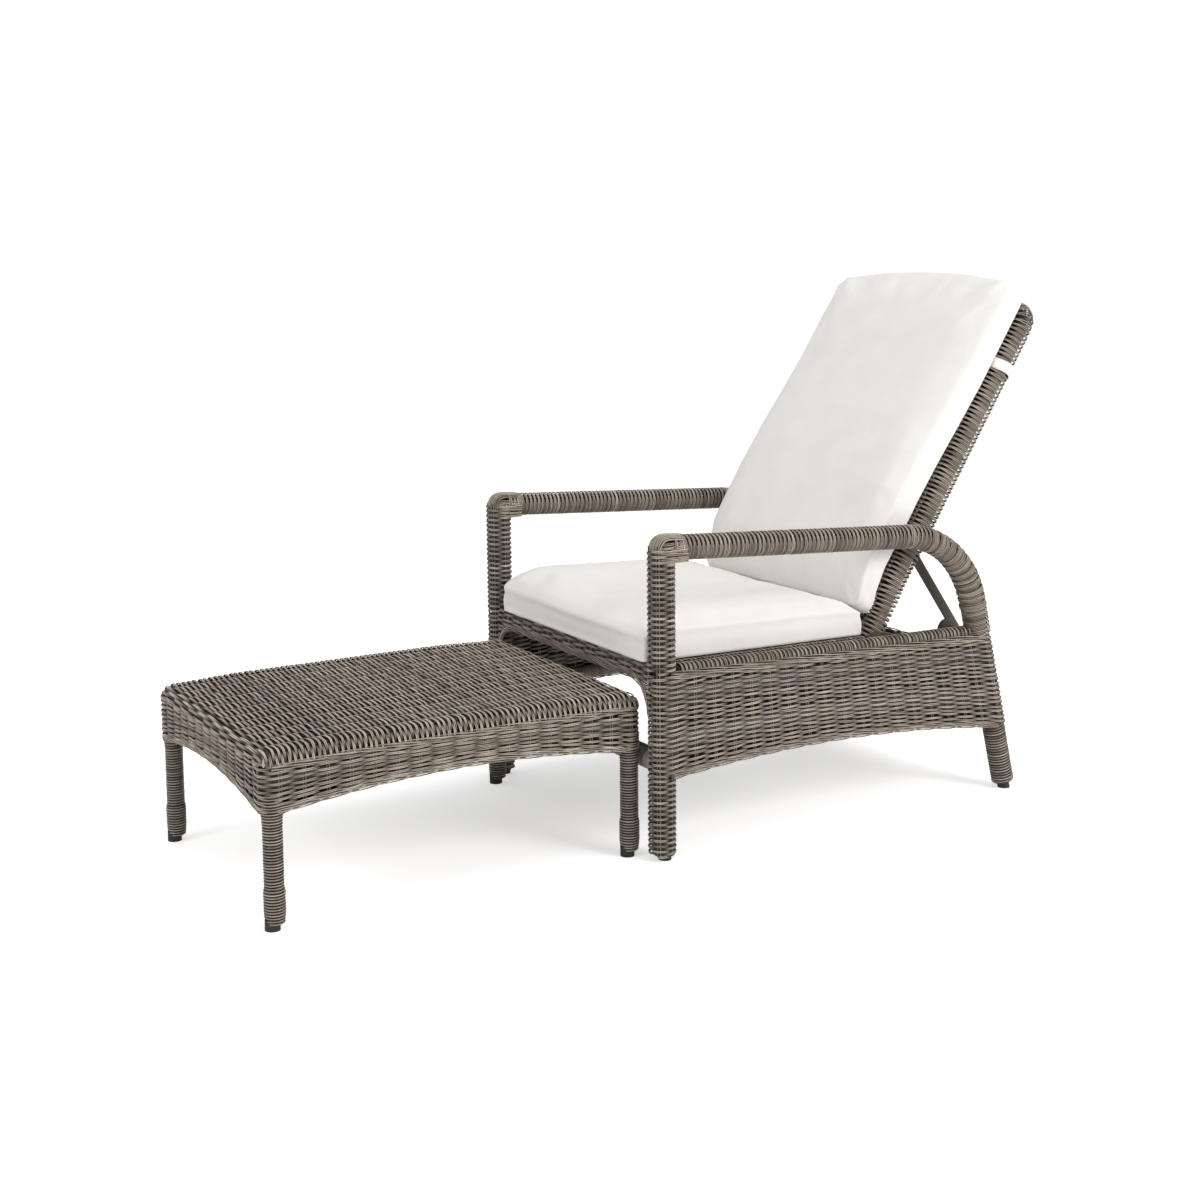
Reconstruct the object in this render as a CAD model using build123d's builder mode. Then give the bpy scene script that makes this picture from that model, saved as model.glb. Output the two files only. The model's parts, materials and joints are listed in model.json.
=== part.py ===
"""Sun chair with a loose footstool: wrapped aluminium poles, woven panels, a backrest on a prop.

The frame: +X is the sitter's left, the chair faces -Y and +Z is up, in millimetres.
The origin is on the floor, under the middle of the chair and footstool together.
Heights and lengths along Y in the side views are measured from the front posts.
"""

import os
from math import asin, atan2, cos, hypot, radians, sin, tan

from build123d import *

os.makedirs("parts", exist_ok=True)

# Poles: a tube inside a wound wrap
post_x = 336
tube_r = 12.5
tube_wall = 2
pole_r = 25
cap_r = 13
cap_height = 20

# Side frames: post, arm, bend and raked rear leg in one tube
arm_z = 615
arm_slope = 3.25
bend_r = 199
corner_r = 30
foot_y = 882
leg_rake = 13.3

# Seat frame, whose side rails fall a little towards the back
rail_x = 332
rail_z = 368
rail_slope = 1.03
rail_r = 19
rail_tube_r = 11
front_rail_r = 17
cross_bar_r = 8
deck_half = 315
deck_t = 8
deck_top = 17
deck_end = 515

# Low rails and woven panels
stretcher_z = 190
stretcher_r = 22
low_rail_x = 337
low_rail_z = 205
low_rail_r = 13
panel_x = 360
panel_t = 8
rear_rail_z = 275
rear_rail_r = 17

# Backrest
back_angle = 33.1
hinge_y = 541.5
hinge_z = 358.4
hinge_pin_r = 6
stile_x = 280
stile_r = 24
stile_low = -18
back_length = 796
back_corner_r = 30
back_rail_r = 9

# Prop, and the notched racks that its foot rests over
prop_y = 669.4
prop_x = 247
prop_t = 6
prop_width = 20
prop_pin_r = 5
foot_pin_y = 814
foot_pin_z = 348
running_gap = 0.06
recline_step = 4
notch_count = 5

# Cushions
soft_gap = 0.3
cushion_half = 302

# Footstool, which stands in front of the chair
stool_half_x = 300
stool_half_y = 387
stool_y = -418.5
stool_top = 330
stool_leg_r = 20

# Where the chair stands: the origin is midway between the footstool's front and the back's rear
rear_reach = hinge_y + back_length * sin(radians(back_angle)) + stile_r
post_y = (stool_half_y - stool_y - rear_reach) / 2


def view_plane(x):
    """The side view at x: its own x runs back from the front posts, its y is the height."""
    return Plane(origin=(x, post_y, 0), x_dir=(0, 1, 0), z_dir=(1, 0, 0))


def along(y, z, x=0):
    """A point given by its distance behind the front posts and its height."""
    return Vector(x, post_y + y, z)


def bar(start, end, radius, bore=0):
    """A straight round bar between two points, or a tube if it has a bore."""
    axis = Vector(end) - Vector(start)
    with BuildPart() as made:
        with BuildSketch(Plane(origin=start, z_dir=axis)):
            Circle(radius)
            if bore:
                Circle(bore, mode=Mode.SUBTRACT)
        extrude(amount=axis.length)
    return made.part


def bent_bar(points, radii, plane, radius, bore=0):
    """A round bar along straight runs with rounded corners, drawn on a plane."""
    with BuildPart() as made:
        with BuildLine(plane) as path:
            FilletPolyline(*points, radius=radii)
        with BuildSketch(Plane(origin=path.line @ 0, z_dir=path.line % 0)):
            Circle(radius)
            if bore:
                Circle(bore, mode=Mode.SUBTRACT)
        sweep(path=path.line)
    return made.part


def without(body, *tools):
    """A piece with other pieces cut out of it."""
    with BuildPart() as made:
        add(body)
        for tool in tools:
            add(tool, mode=Mode.SUBTRACT)
    return made.part


def mirrored(body):
    """The same piece on the other side of the chair."""
    with BuildPart() as made:
        mirror(body, about=Plane.YZ)
    return made.part


def together(*bodies):
    """Separate solids that share one node."""
    with BuildPart() as made:
        for body in bodies:
            add(body)
    return made.part


def write(body, name):
    """Labels one piece and writes it."""
    body.label = name
    export_step(body, f"parts/{name}.step")


def write_pair(body, name):
    """Writes a left-hand piece and its mirror image."""
    write(body, name + "_left")
    write(mirrored(body), name + "_right")


def write_both(body, name):
    """Writes a piece and its mirror image in one node."""
    write(together(body, mirrored(body)), name)


def arm_height(y):
    """The height of the arm's centre line."""
    return arm_z - y * tan(radians(arm_slope))


def leg_y(z):
    """How far back the rear leg's centre line is at a height."""
    return foot_y - z * tan(radians(leg_rake))


def rail_height(y):
    """The height of the seat rails' centre line."""
    return rail_z - y * tan(radians(rail_slope))


# Side frames
leg_lean = tan(radians(leg_rake))
arm_fall = tan(radians(arm_slope))
bend_y = (foot_y - arm_z * leg_lean) / (1 - leg_lean * arm_fall)
bend_z = arm_height(bend_y)
turn = 90 - leg_rake - arm_slope
bend_run = bend_r * tan(radians(turn / 2))
arm_end_y = bend_y - bend_run * cos(radians(arm_slope))
side_view = view_plane(post_x)
side_points = [(0, cap_height), (0, arm_z), (bend_y, bend_z), (leg_y(cap_height), cap_height)]
side_core = bent_bar(side_points, [corner_r, bend_r], side_view, tube_r)
side_tube = bent_bar(side_points, [corner_r, bend_r], side_view, tube_r, tube_r - tube_wall)
write_pair(side_tube, "side_tube")

# Seat rails and cross bars, as solid cores that the wraps are cut by
leg_at_rail = leg_y(rail_height(leg_y(rail_z)))
rail_core = bar(
    along(0, rail_height(0), rail_x),
    along(leg_at_rail, rail_height(leg_at_rail), rail_x),
    rail_tube_r,
)
front_rail_core = bar(along(0, rail_z, -post_x), along(0, rail_z, post_x), rail_tube_r)
front_stretcher_core = bar(
    along(0, stretcher_z, -post_x), along(0, stretcher_z, post_x), rail_tube_r
)
rear_rail_core = bar(
    along(leg_y(rear_rail_z), rear_rail_z, -post_x),
    along(leg_y(rear_rail_z), rear_rail_z, post_x),
    rail_tube_r,
)
rear_stretcher_core = bar(
    along(leg_y(stretcher_z), stretcher_z, -post_x),
    along(leg_y(stretcher_z), stretcher_z, post_x),
    rail_tube_r,
)
low_tube_r = low_rail_r - 5
low_rail_core = bar(
    along(0, low_rail_z, low_rail_x), along(leg_y(low_rail_z), low_rail_z, low_rail_x), low_tube_r
)
hinge_bar_y = 495
hinge_bar_r = 9
hinge_bar_z = rail_height(hinge_bar_y) - 2
hinge_bar_core = bar(
    along(hinge_bar_y, hinge_bar_z, -rail_x), along(hinge_bar_y, hinge_bar_z, rail_x), hinge_bar_r
)
cross_bar_y = (170, 335)
cross_bar_cores = [
    bar(along(y, rail_height(y), -rail_x), along(y, rail_height(y), rail_x), cross_bar_r)
    for y in cross_bar_y
]
both_sides = [side_core, mirrored(side_core)]
both_rails = [rail_core, mirrored(rail_core)]

write_both(without(rail_core, side_core), "seat_rail_tubes")
write_both(without(low_rail_core, side_core), "lower_rail_tubes")
write(without(front_rail_core, *both_sides, *both_rails), "front_rail_tube")
write(without(front_stretcher_core, *both_sides), "front_stretcher_tube")
write(without(rear_rail_core, *both_sides), "rear_rail_tube")
write(without(rear_stretcher_core, *both_sides), "rear_stretcher_tube")
write(without(hinge_bar_core, *both_rails), "hinge_cross_bar")
write(together(*[without(core, *both_rails) for core in cross_bar_cores]), "seat_cross_bars")

# Pole wraps on the side frames
wrap_low = cap_height + 2
post_top = arm_z + pole_r
with BuildPart() as post_body:
    with BuildSketch(Plane.XY.offset(wrap_low)):
        with Locations((post_x, post_y)):
            Circle(pole_r)
    extrude(amount=post_top - wrap_low)
    fillet(post_body.edges().group_by(Axis.Z)[-1], radius=8)
post_wrap = without(
    post_body.part,
    side_core,
    rail_core,
    low_rail_core,
    front_rail_core,
    front_stretcher_core,
)
write_pair(post_wrap, "front_post_wrap")

arm_body = bar(along(0, arm_z, post_x), along(arm_end_y, arm_height(arm_end_y), post_x), pole_r)
write_pair(without(arm_body, post_body.part, side_core), "arm_wrap")

bend_end_y = bend_y + bend_run * sin(radians(leg_rake))
bend_end_z = bend_z - bend_run * cos(radians(leg_rake))
leg_end_z = wrap_low + 6
with BuildPart() as leg_body:
    with BuildLine(side_view) as leg_path:
        bend = RadiusArc((arm_end_y, arm_height(arm_end_y)), (bend_end_y, bend_end_z), bend_r)
        Line(bend @ 1, (leg_y(leg_end_z), leg_end_z))
    with BuildSketch(Plane(origin=leg_path.line @ 0, z_dir=leg_path.line % 0)):
        Circle(pole_r)
    sweep(path=leg_path.line)
leg_wrap = without(
    leg_body.part,
    side_core,
    rail_core,
    low_rail_core,
    rear_rail_core,
    rear_stretcher_core,
)
write_pair(leg_wrap, "rear_leg_wrap")

# Foot caps: a round cap under each tube end, with a plug inside the tube
plug_r = tube_r - tube_wall
plug_length = 15


def foot_cap(y, rake):
    """One cap, cut level with the floor."""
    down = Vector(0, sin(radians(rake)), -cos(radians(rake)))
    end = along(y, cap_height, post_x)
    with BuildPart() as cap:
        with BuildSketch(Plane(origin=end, z_dir=down)):
            Circle(cap_r)
        extrude(amount=cap_height * 1.5)
        with BuildSketch(Plane(origin=end, z_dir=-down)):
            Circle(plug_r)
        extrude(amount=plug_length)
        split(bisect_by=Plane.XY, keep=Keep.TOP)
    return cap.part


caps = [foot_cap(0, 0), foot_cap(leg_y(cap_height), leg_rake)]
write(together(*caps, *[mirrored(cap) for cap in caps]), "foot_caps")

# Wraps on the rails
seat_wrap_body = bar(
    along(0, rail_height(0), rail_x),
    along(leg_at_rail, rail_height(leg_at_rail), rail_x),
    rail_r,
)
rack_stud_r = 5
rack_stud_y = (715, 770)
rack_low = 318
stud_cores = [
    bar(along(y, rack_low, rail_x), along(y, rail_height(y), rail_x), rack_stud_r)
    for y in rack_stud_y
]
hinge_boss_r = 10
plate_x = 305
plate_t = 5
hinge_boss = bar(
    along(hinge_y, hinge_z, plate_x + plate_t), along(hinge_y, hinge_z, rail_x), hinge_boss_r
)
seat_wrap = without(
    seat_wrap_body,
    post_body.part,
    leg_body.part,
    rail_core,
    front_rail_core,
    hinge_bar_core,
    *cross_bar_cores,
    *stud_cores,
    hinge_boss,
)
write_pair(seat_wrap, "seat_rail_wrap")

front_wrap_body = bar(along(0, rail_z, -post_x), along(0, rail_z, post_x), front_rail_r)
posts = [post_body.part, mirrored(post_body.part)]
legs = [leg_body.part, mirrored(leg_body.part)]
seat_wraps = [seat_wrap_body, mirrored(seat_wrap_body)]
write(without(front_wrap_body, *posts, *seat_wraps, front_rail_core), "front_rail_wrap")

low_wrap_body = bar(
    along(0, low_rail_z, low_rail_x), along(leg_y(low_rail_z), low_rail_z, low_rail_x), low_rail_r
)
low_wrap = without(low_wrap_body, post_body.part, leg_body.part, low_rail_core)
write_pair(low_wrap, "lower_rail_wrap")

front_stretcher_body = bar(
    along(0, stretcher_z, -post_x), along(0, stretcher_z, post_x), stretcher_r
)
front_stretcher_wrap = without(front_stretcher_body, *posts, front_stretcher_core)
write(front_stretcher_wrap, "front_stretcher_wrap")

rear_rail_body = bar(
    along(leg_y(rear_rail_z), rear_rail_z, -post_x),
    along(leg_y(rear_rail_z), rear_rail_z, post_x),
    rear_rail_r,
)
write(without(rear_rail_body, *legs, rear_rail_core), "rear_rail_wrap")
rear_stretcher_body = bar(
    along(leg_y(stretcher_z), stretcher_z, -post_x),
    along(leg_y(stretcher_z), stretcher_z, post_x),
    rear_rail_r,
)
write(without(rear_stretcher_body, *legs, rear_stretcher_core), "rear_stretcher_wrap")

# Side panels, flush with the outside of the poles, with an arched lower edge
panel_low_front = 169
panel_low_middle = 188
panel_low_rear = 149
panel_low_middle_y = 377
panel_top_front = 376
panel_top_rear = 356
with BuildPart() as panel_body:
    with BuildSketch(view_plane(panel_x - panel_t)):
        with BuildLine():
            Polyline(
                (0, panel_low_front),
                (0, panel_top_front),
                (leg_y(panel_top_rear), panel_top_rear),
                (leg_y(panel_low_rear), panel_low_rear),
            )
            ThreePointArc(
                (leg_y(panel_low_rear), panel_low_rear),
                (panel_low_middle_y, panel_low_middle),
                (0, panel_low_front),
            )
        make_face()
    extrude(amount=panel_t)
write_pair(without(panel_body.part, post_body.part, leg_body.part), "side_panel")

# Front apron: a band under the front rail, with a bracket beside each post
apron_t = 7
apron_low = 350
apron_top = 376
apron_half = 330
bracket_low = 285
bracket_x = 311
bracket_start_x = 248
with BuildPart() as apron_body:
    with BuildSketch(Plane.XZ.offset(-post_y + pole_r - apron_t)):
        with BuildLine():
            Polyline(
                (0, apron_low),
                (0, apron_top),
                (apron_half, apron_top),
                (apron_half, bracket_low),
                (bracket_x, bracket_low),
            )
            TangentArc((bracket_x, bracket_low), (bracket_start_x, apron_low), tangent=(0, 1))
            Line((bracket_start_x, apron_low), (0, apron_low))
        make_face()
        mirror(about=Plane.YZ)
    extrude(amount=apron_t)
write(without(apron_body.part, *posts, front_wrap_body), "front_apron")

# Rear panel between the raked legs, on their back side
lean = radians(leg_rake)
rear_plane = Plane(
    origin=along(foot_y, 0), x_dir=(-1, 0, 0), z_dir=(0, cos(lean), sin(lean))
)
rear_top = (rear_rail_z + rear_rail_r) / cos(lean)
rear_low_side = 160 / cos(lean)
rear_low_middle = 178 / cos(lean)
with BuildPart() as rear_body:
    with BuildSketch(rear_plane.offset(rear_rail_r)):
        with BuildLine():
            Polyline(
                (-post_x, rear_low_side),
                (-post_x, rear_top),
                (post_x, rear_top),
                (post_x, rear_low_side),
            )
            ThreePointArc(
                (post_x, rear_low_side), (0, rear_low_middle), (-post_x, rear_low_side)
            )
        make_face()
    extrude(amount=panel_t)
write(without(rear_body.part, *legs), "rear_panel")

# Seat deck, woven between the rails and level with their tops
deck_plane = Plane(
    origin=along(0, rail_z + deck_top), x_dir=(1, 0, 0), z_dir=(0, tan(radians(rail_slope)), 1)
)
deck_start = front_rail_r - 2
with BuildPart() as seat_deck:
    with BuildSketch(deck_plane):
        with Locations((0, (deck_start + deck_end) / 2)):
            Rectangle(2 * deck_half, deck_end - deck_start)
    extrude(amount=-deck_t)
write(seat_deck.part, "seat_deck")

# Hinge brackets: a plate beside the seat rail, a boss into its tube and a pin for the stile
bracket_r = 23
bracket_end_r = 18
bracket_end = (hinge_y + 54, hinge_z - 6)
pin_end = stile_x - tube_r - 4
with BuildPart() as bracket:
    with BuildSketch(view_plane(plate_x)):
        with Locations((hinge_y, hinge_z)):
            Circle(bracket_r)
        with Locations(bracket_end):
            Circle(bracket_end_r)
        make_hull()
    extrude(amount=plate_t)
    add(hinge_boss)
    with BuildSketch(view_plane(plate_x)):
        with Locations((hinge_y, hinge_z)):
            Circle(hinge_pin_r)
    extrude(amount=rail_x - plate_x, mode=Mode.SUBTRACT)
write_both(without(bracket.part, rail_core), "hinge_brackets")
hinge_pin_core = bar(
    along(hinge_y, hinge_z, pin_end), along(hinge_y, hinge_z, rail_x), hinge_pin_r
)
write_both(without(hinge_pin_core, rail_core), "hinge_pins")

# Backrest frame: two stiles and the top rail in one bent tube, on the plane of the back
tilt = radians(back_angle)
back_plane = Plane(
    origin=along(hinge_y, hinge_z), x_dir=(1, 0, 0), z_dir=(0, -cos(tilt), sin(tilt))
)


def on_back(x, up, out=0):
    """A point on the backrest: across, up along the stiles and out of its front."""
    return back_plane.from_local_coords(Vector(x, up, out))


back_points = [
    (stile_x, stile_low),
    (stile_x, back_length),
    (-stile_x, back_length),
    (-stile_x, stile_low),
]
back_radii = [back_corner_r, back_corner_r]
back_core = bent_bar(back_points, back_radii, back_plane, tube_r)
back_shell = bent_bar(back_points, back_radii, back_plane, tube_r, tube_r - tube_wall)
prop_up = hypot(prop_y - hinge_y, (prop_y - hinge_y) / tan(tilt))
prop_z = hinge_z + (prop_y - hinge_y) / tan(tilt)
hinge_hole = bar(
    along(hinge_y, hinge_z, -rail_x), along(hinge_y, hinge_z, rail_x), hinge_pin_r + running_gap
)
prop_hole = bar(
    along(prop_y, prop_z, -rail_x), along(prop_y, prop_z, rail_x), prop_pin_r + running_gap
)
write(without(back_shell, hinge_hole, prop_hole), "back_tube")

bottom_rail_up = 45
middle_rail_up = 400
back_rail_out = 2
back_rail_cores = [
    bar(on_back(-stile_x, up, back_rail_out), on_back(stile_x, up, back_rail_out), back_rail_r)
    for up in (bottom_rail_up, middle_rail_up)
]
write(without(back_rail_cores[0], back_core), "back_bottom_rail")
write(without(back_rail_cores[1], back_core), "back_middle_rail")

stile_top = back_length - back_corner_r - 12
stile_body = bar(on_back(stile_x, stile_low), on_back(stile_x, stile_top), stile_r)
stile_wrap = without(stile_body, back_core, *back_rail_cores, hinge_hole, prop_hole)
write_pair(stile_wrap, "stile_wrap")

top_points = [
    (stile_x, stile_top),
    (stile_x, back_length),
    (-stile_x, back_length),
    (-stile_x, stile_top),
]
top_body = bent_bar(top_points, back_radii, back_plane, stile_r)
write(without(top_body, back_core), "top_rail_wrap")

# Back panel, woven in front of the rails and between the stiles
back_panel_out = 12
back_panel_half = 256.5
back_panel_low = 30
with BuildPart() as back_panel:
    with BuildSketch(back_plane.offset(back_panel_out)):
        with Locations((0, (back_panel_low + back_length - stile_r) / 2)):
            Rectangle(2 * back_panel_half, back_length - stile_r - back_panel_low)
    extrude(amount=panel_t)
write(without(back_panel.part, top_body), "back_panel")

# Prop: a flat arm each side with a round foot plate, tied by a cross tube behind the back
prop_r = prop_width / 2
foot_plate_r = 24
foot_plate_y = foot_pin_y - 24
foot_plate_z = foot_pin_z - 2
prop_length = hypot(foot_pin_y - prop_y, prop_z - foot_pin_z)
prop_lean = atan2(prop_z - foot_pin_z, foot_pin_y - prop_y)
cross_down = 38
cross_y = prop_y + cross_down * cos(prop_lean)
cross_z = prop_z - cross_down * sin(prop_lean)
prop_cross_r = 8
with BuildPart() as prop_arm:
    with BuildSketch(view_plane(prop_x - prop_t / 2)):
        with Locations((prop_y, prop_z)):
            Circle(prop_r)
        with Locations((foot_pin_y, foot_pin_z)):
            Circle(prop_r)
        make_hull()
        with Locations((foot_plate_y, foot_plate_z)):
            Circle(foot_plate_r)
        with Locations((prop_y, prop_z), (foot_pin_y, foot_pin_z)):
            Circle(prop_pin_r, mode=Mode.SUBTRACT)
        with Locations((cross_y, cross_z)):
            Circle(prop_cross_r, mode=Mode.SUBTRACT)
    extrude(amount=prop_t)
write_pair(prop_arm.part, "prop_arm")

prop_out = prop_x + prop_t / 2
write(
    bar(
        along(cross_y, cross_z, -prop_out),
        along(cross_y, cross_z, prop_out),
        prop_cross_r,
        prop_cross_r - 1.5,
    ),
    "prop_cross_tube",
)
pivot_pin = bar(
    along(prop_y, prop_z, prop_x - prop_t / 2),
    along(prop_y, prop_z, stile_x + stile_r - 6),
    prop_pin_r,
)
write_both(pivot_pin, "prop_pivot_pins")
bush = bar(
    along(prop_y, prop_z, prop_out),
    along(prop_y, prop_z, stile_x - stile_r - 0.4),
    prop_pin_r + 4,
    prop_pin_r,
)
write_both(bush, "prop_bushes")
rack_x = 262
rack_t = 5
foot_pin = bar(
    along(foot_pin_y, foot_pin_z, prop_x - prop_t / 2),
    along(foot_pin_y, foot_pin_z, rack_x + rack_t + 4),
    prop_pin_r,
)
write_both(foot_pin, "prop_foot_pins")


def foot_at(angle):
    """Where the prop's foot stands behind the posts when the back is raised by an angle."""
    raised = radians(90 - back_angle + angle)
    y = hinge_y + prop_up * cos(raised)
    z = hinge_z + prop_up * sin(raised)
    return y + prop_length * cos(asin((z - foot_pin_z) / prop_length))


# Racks: an angle bar below each seat rail, its upright edge cut with a notch for each position
tooth_gap = 1.2
tooth_z = foot_pin_z - prop_pin_r - tooth_gap
notch_r = prop_pin_r + 0.6
notch_z = tooth_z + 2
rack_start = foot_at(recline_step * (notch_count - 1)) - 22
rack_end = foot_pin_y + 22
rack_half_length = (rack_end - rack_start) / 2
with BuildPart() as rack:
    with BuildSketch(view_plane(rack_x)):
        with Locations(((rack_start + rack_end) / 2, (rack_low + tooth_z) / 2)):
            Rectangle(2 * rack_half_length, tooth_z - rack_low)
        with Locations([(foot_at(recline_step * n), notch_z) for n in range(notch_count)]):
            Circle(notch_r, mode=Mode.SUBTRACT)
    extrude(amount=rack_t)
    with BuildSketch(Plane.XY.offset(rack_low)):
        with Locations(((rack_x + rail_x + 10) / 2, post_y + (rack_start + rack_end) / 2)):
            Rectangle(rail_x + 10 - rack_x, 2 * rack_half_length)
    extrude(amount=rack_t)
write_both(without(rack.part, leg_body.part, panel_body.part), "prop_racks")
stud_tops = [without(core, rail_core, rack.part) for core in stud_cores]
write(together(*stud_tops, *[mirrored(stud) for stud in stud_tops]), "rack_studs")


def cushion_section(plane, half, height, crown, draw):
    """One cross-section of a cushion: flat below, drawn-in sides and a crowned top."""
    with BuildSketch(plane) as section:
        with BuildLine():
            Line((-half + draw, 0), (half - draw, 0))
            ThreePointArc((half - draw, 0), (half, height / 2), (half - draw, height))
            ThreePointArc((half - draw, height), (0, height + crown), (-half + draw, height))
            ThreePointArc((-half + draw, height), (-half, height / 2), (-half + draw, 0))
        make_face()
    return section.sketch


# Seat cushion: crowned, drawn in along its sides, thinner where the back cushion meets it
cushion_front = -18
cushion_end = 518
seat_shape = [
    (cushion_front, 288, 30, 2),
    (cushion_front + 5, 298, 46, 3),
    (cushion_front + 16, 301, 57, 4),
    (60, cushion_half, 60, 8),
    (250, 299, 59, 11),
    (440, cushion_half, 51, 7),
    (500, 301, 43, 3),
    (cushion_end - 6, 297, 36, 2),
    (cushion_end, 288, 22, 2),
]
with BuildPart() as seat_cushion:
    for y, half, height, crown in seat_shape:
        start = Plane(
            origin=along(y, rail_height(y) + deck_top + soft_gap),
            x_dir=(1, 0, 0),
            z_dir=(0, -1, 0),
        )
        add(cushion_section(start, half, height, crown, 6))
    loft(ruled=True)
write(seat_cushion.part, "seat_cushion")

# Back cushion: the same kind of form, cut to its arched top
strap_t = 1.5
cushion_out = stile_r + strap_t + 2 * soft_gap
back_cushion_low = 60
back_cushion_side = 836
back_cushion_top = 866
back_shape = [
    (back_cushion_low, 288, 22, 3),
    (back_cushion_low + 6, 298, 37, 4),
    (back_cushion_low + 20, 301, 53, 6),
    (170, cushion_half, 76, 8),
    (300, 299, 80, 9),
    (430, 298, 76, 9),
    (600, 299, 68, 9),
    (back_cushion_side, cushion_half, 64, 7),
    (back_cushion_top, 300, 58, 5),
]
with BuildPart() as back_cushion:
    for up, half, height, crown in back_shape:
        start = Plane(
            origin=on_back(0, up, cushion_out),
            x_dir=(1, 0, 0),
            z_dir=(0, -sin(tilt), -cos(tilt)),
        )
        add(cushion_section(start, half, height, crown, 6))
    loft(ruled=True)
    with BuildSketch(back_plane):
        with BuildLine():
            Polyline(
                (-320, back_cushion_side - 4),
                (-320, 0),
                (320, 0),
                (320, back_cushion_side - 4),
            )
            ThreePointArc(
                (320, back_cushion_side - 4), (0, back_cushion_top), (-320, back_cushion_side - 4)
            )
        make_face()
    extrude(amount=200, mode=Mode.INTERSECT)
write(back_cushion.part, "back_cushion")

# Straps of the back cushion, one round each stile
strap_up = 648
strap_width = 24
strap = bar(
    on_back(stile_x, strap_up),
    on_back(stile_x, strap_up + strap_width),
    stile_r + soft_gap + strap_t,
    stile_r + soft_gap,
)
write_both(strap, "cushion_straps")

# Footstool: legs
leg_x = stool_half_x - stool_leg_r
leg_off = stool_half_y - stool_leg_r
leg_tube_r = 9
slim_r = 18
swell_top = 80
band_low = 218
band_middle = 246
band_top = 312
stool_cap_r = 14
stool_corners = [(x, stool_y + y) for x in (-leg_x, leg_x) for y in (-leg_off, leg_off)]


def stool_legs(low, high, radius, bore=0):
    """The same upright round piece at each corner of the footstool."""
    return together(
        *[
            bar(along(y, low, x), along(y, high, x), radius, bore)
            for x, y in stool_corners
        ]
    )


rail_level = band_top - 12
stool_rail_r = 7


def stool_rail(x1, y1, x2, y2):
    """A tube of the footstool's frame, between two points of its plan."""
    start = along(stool_y + y1, rail_level, x1)
    return bar(start, along(stool_y + y2, rail_level, x2), stool_rail_r)


side_cores = [stool_rail(x, -leg_off, x, leg_off) for x in (-leg_x, leg_x)]
end_cores = [stool_rail(-leg_x, y, leg_x, y) for y in (-leg_off, leg_off)]
leg_cores = stool_legs(cap_height, band_top, leg_tube_r)
leg_bore_r = leg_tube_r - 1.5
write(stool_legs(cap_height, band_top, leg_tube_r, leg_bore_r), "stool_leg_tubes")
write(without(together(*side_cores), leg_cores), "stool_side_rails")
write(without(together(*end_cores), leg_cores, *side_cores), "stool_end_rails")
stool_bar_y = 120
cross_cores = together(*[stool_rail(-leg_x, y, leg_x, y) for y in (-stool_bar_y, stool_bar_y)])
write(without(cross_cores, *side_cores), "stool_cross_bars")

with BuildPart() as stool_leg:
    with BuildSketch(Plane.XZ):
        with BuildLine():
            Polyline(
                (0, wrap_low),
                (slim_r - 2, wrap_low),
                (stool_leg_r, wrap_low + 14),
                (stool_leg_r, swell_top - 12),
                (slim_r, swell_top),
                (slim_r, band_low - 6),
                (stool_leg_r, band_low + 6),
                (stool_leg_r, band_top),
                (0, band_top),
                (0, wrap_low),
            )
        make_face()
    revolve(axis=Axis.Z)
with BuildPart() as all_wraps:
    with Locations([along(y, 0, x) for x, y in stool_corners]):
        add(stool_leg.part)
write(without(all_wraps.part, leg_cores, *side_cores, *end_cores), "stool_leg_wraps")
stool_caps = stool_legs(0, cap_height, stool_cap_r)
stool_plugs = stool_legs(cap_height, cap_height + plug_length, leg_bore_r)
write(together(stool_caps, stool_plugs), "stool_foot_caps")


def band(plane, half):
    """A woven band with an arched lower edge."""
    with BuildPart() as made:
        with BuildSketch(plane):
            with BuildLine():
                Polyline((-half, band_low), (-half, band_top), (half, band_top), (half, band_low))
                ThreePointArc((half, band_low), (0, band_middle), (-half, band_low))
            make_face()
        extrude(amount=-panel_t)
    return made.part


side_plane = Plane(
    origin=along(stool_y, 0, stool_half_x), x_dir=(0, 1, 0), z_dir=(1, 0, 0)
)
rear_edge_plane = Plane(
    origin=along(stool_y + stool_half_y, 0), x_dir=(-1, 0, 0), z_dir=(0, 1, 0)
)
front_edge_plane = Plane(
    origin=along(stool_y - stool_half_y, 0), x_dir=(1, 0, 0), z_dir=(0, -1, 0)
)
write_both(without(band(side_plane, leg_off), all_wraps.part), "stool_side_bands")
end_bands = [band(plane, leg_x) for plane in (front_edge_plane, rear_edge_plane)]
write(without(together(*end_bands), all_wraps.part), "stool_end_bands")

# Footstool: woven top with rolled edges
with BuildPart() as stool_top_weave:
    with BuildSketch(Plane.XY.offset(band_top)):
        with Locations((0, post_y + stool_y)):
            RectangleRounded(2 * stool_half_x, 2 * stool_half_y, stool_leg_r)
    extrude(amount=stool_top - band_top)
    fillet(stool_top_weave.edges().group_by(Axis.Z)[-1], radius=14)
write(stool_top_weave.part, "stool_top")

print("prop foot:", [round(foot_at(recline_step * n), 1) for n in range(notch_count)])
print("prop pivot height:", round(prop_z, 2), "prop length:", round(prop_length, 2))
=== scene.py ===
"""Sun chair with a footstool: strand, weave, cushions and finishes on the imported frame.

Sizes are in metres. +X is the sitter's left, the chair faces -Y and +Z is up. Lengths along Y
in the side views are measured from the front posts, as in the frame's own construction.
"""

import json
from math import cos, hypot, pi, radians, sin, sqrt, tan

import bpy
import numpy as np
from mathutils import Matrix, Vector


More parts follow.
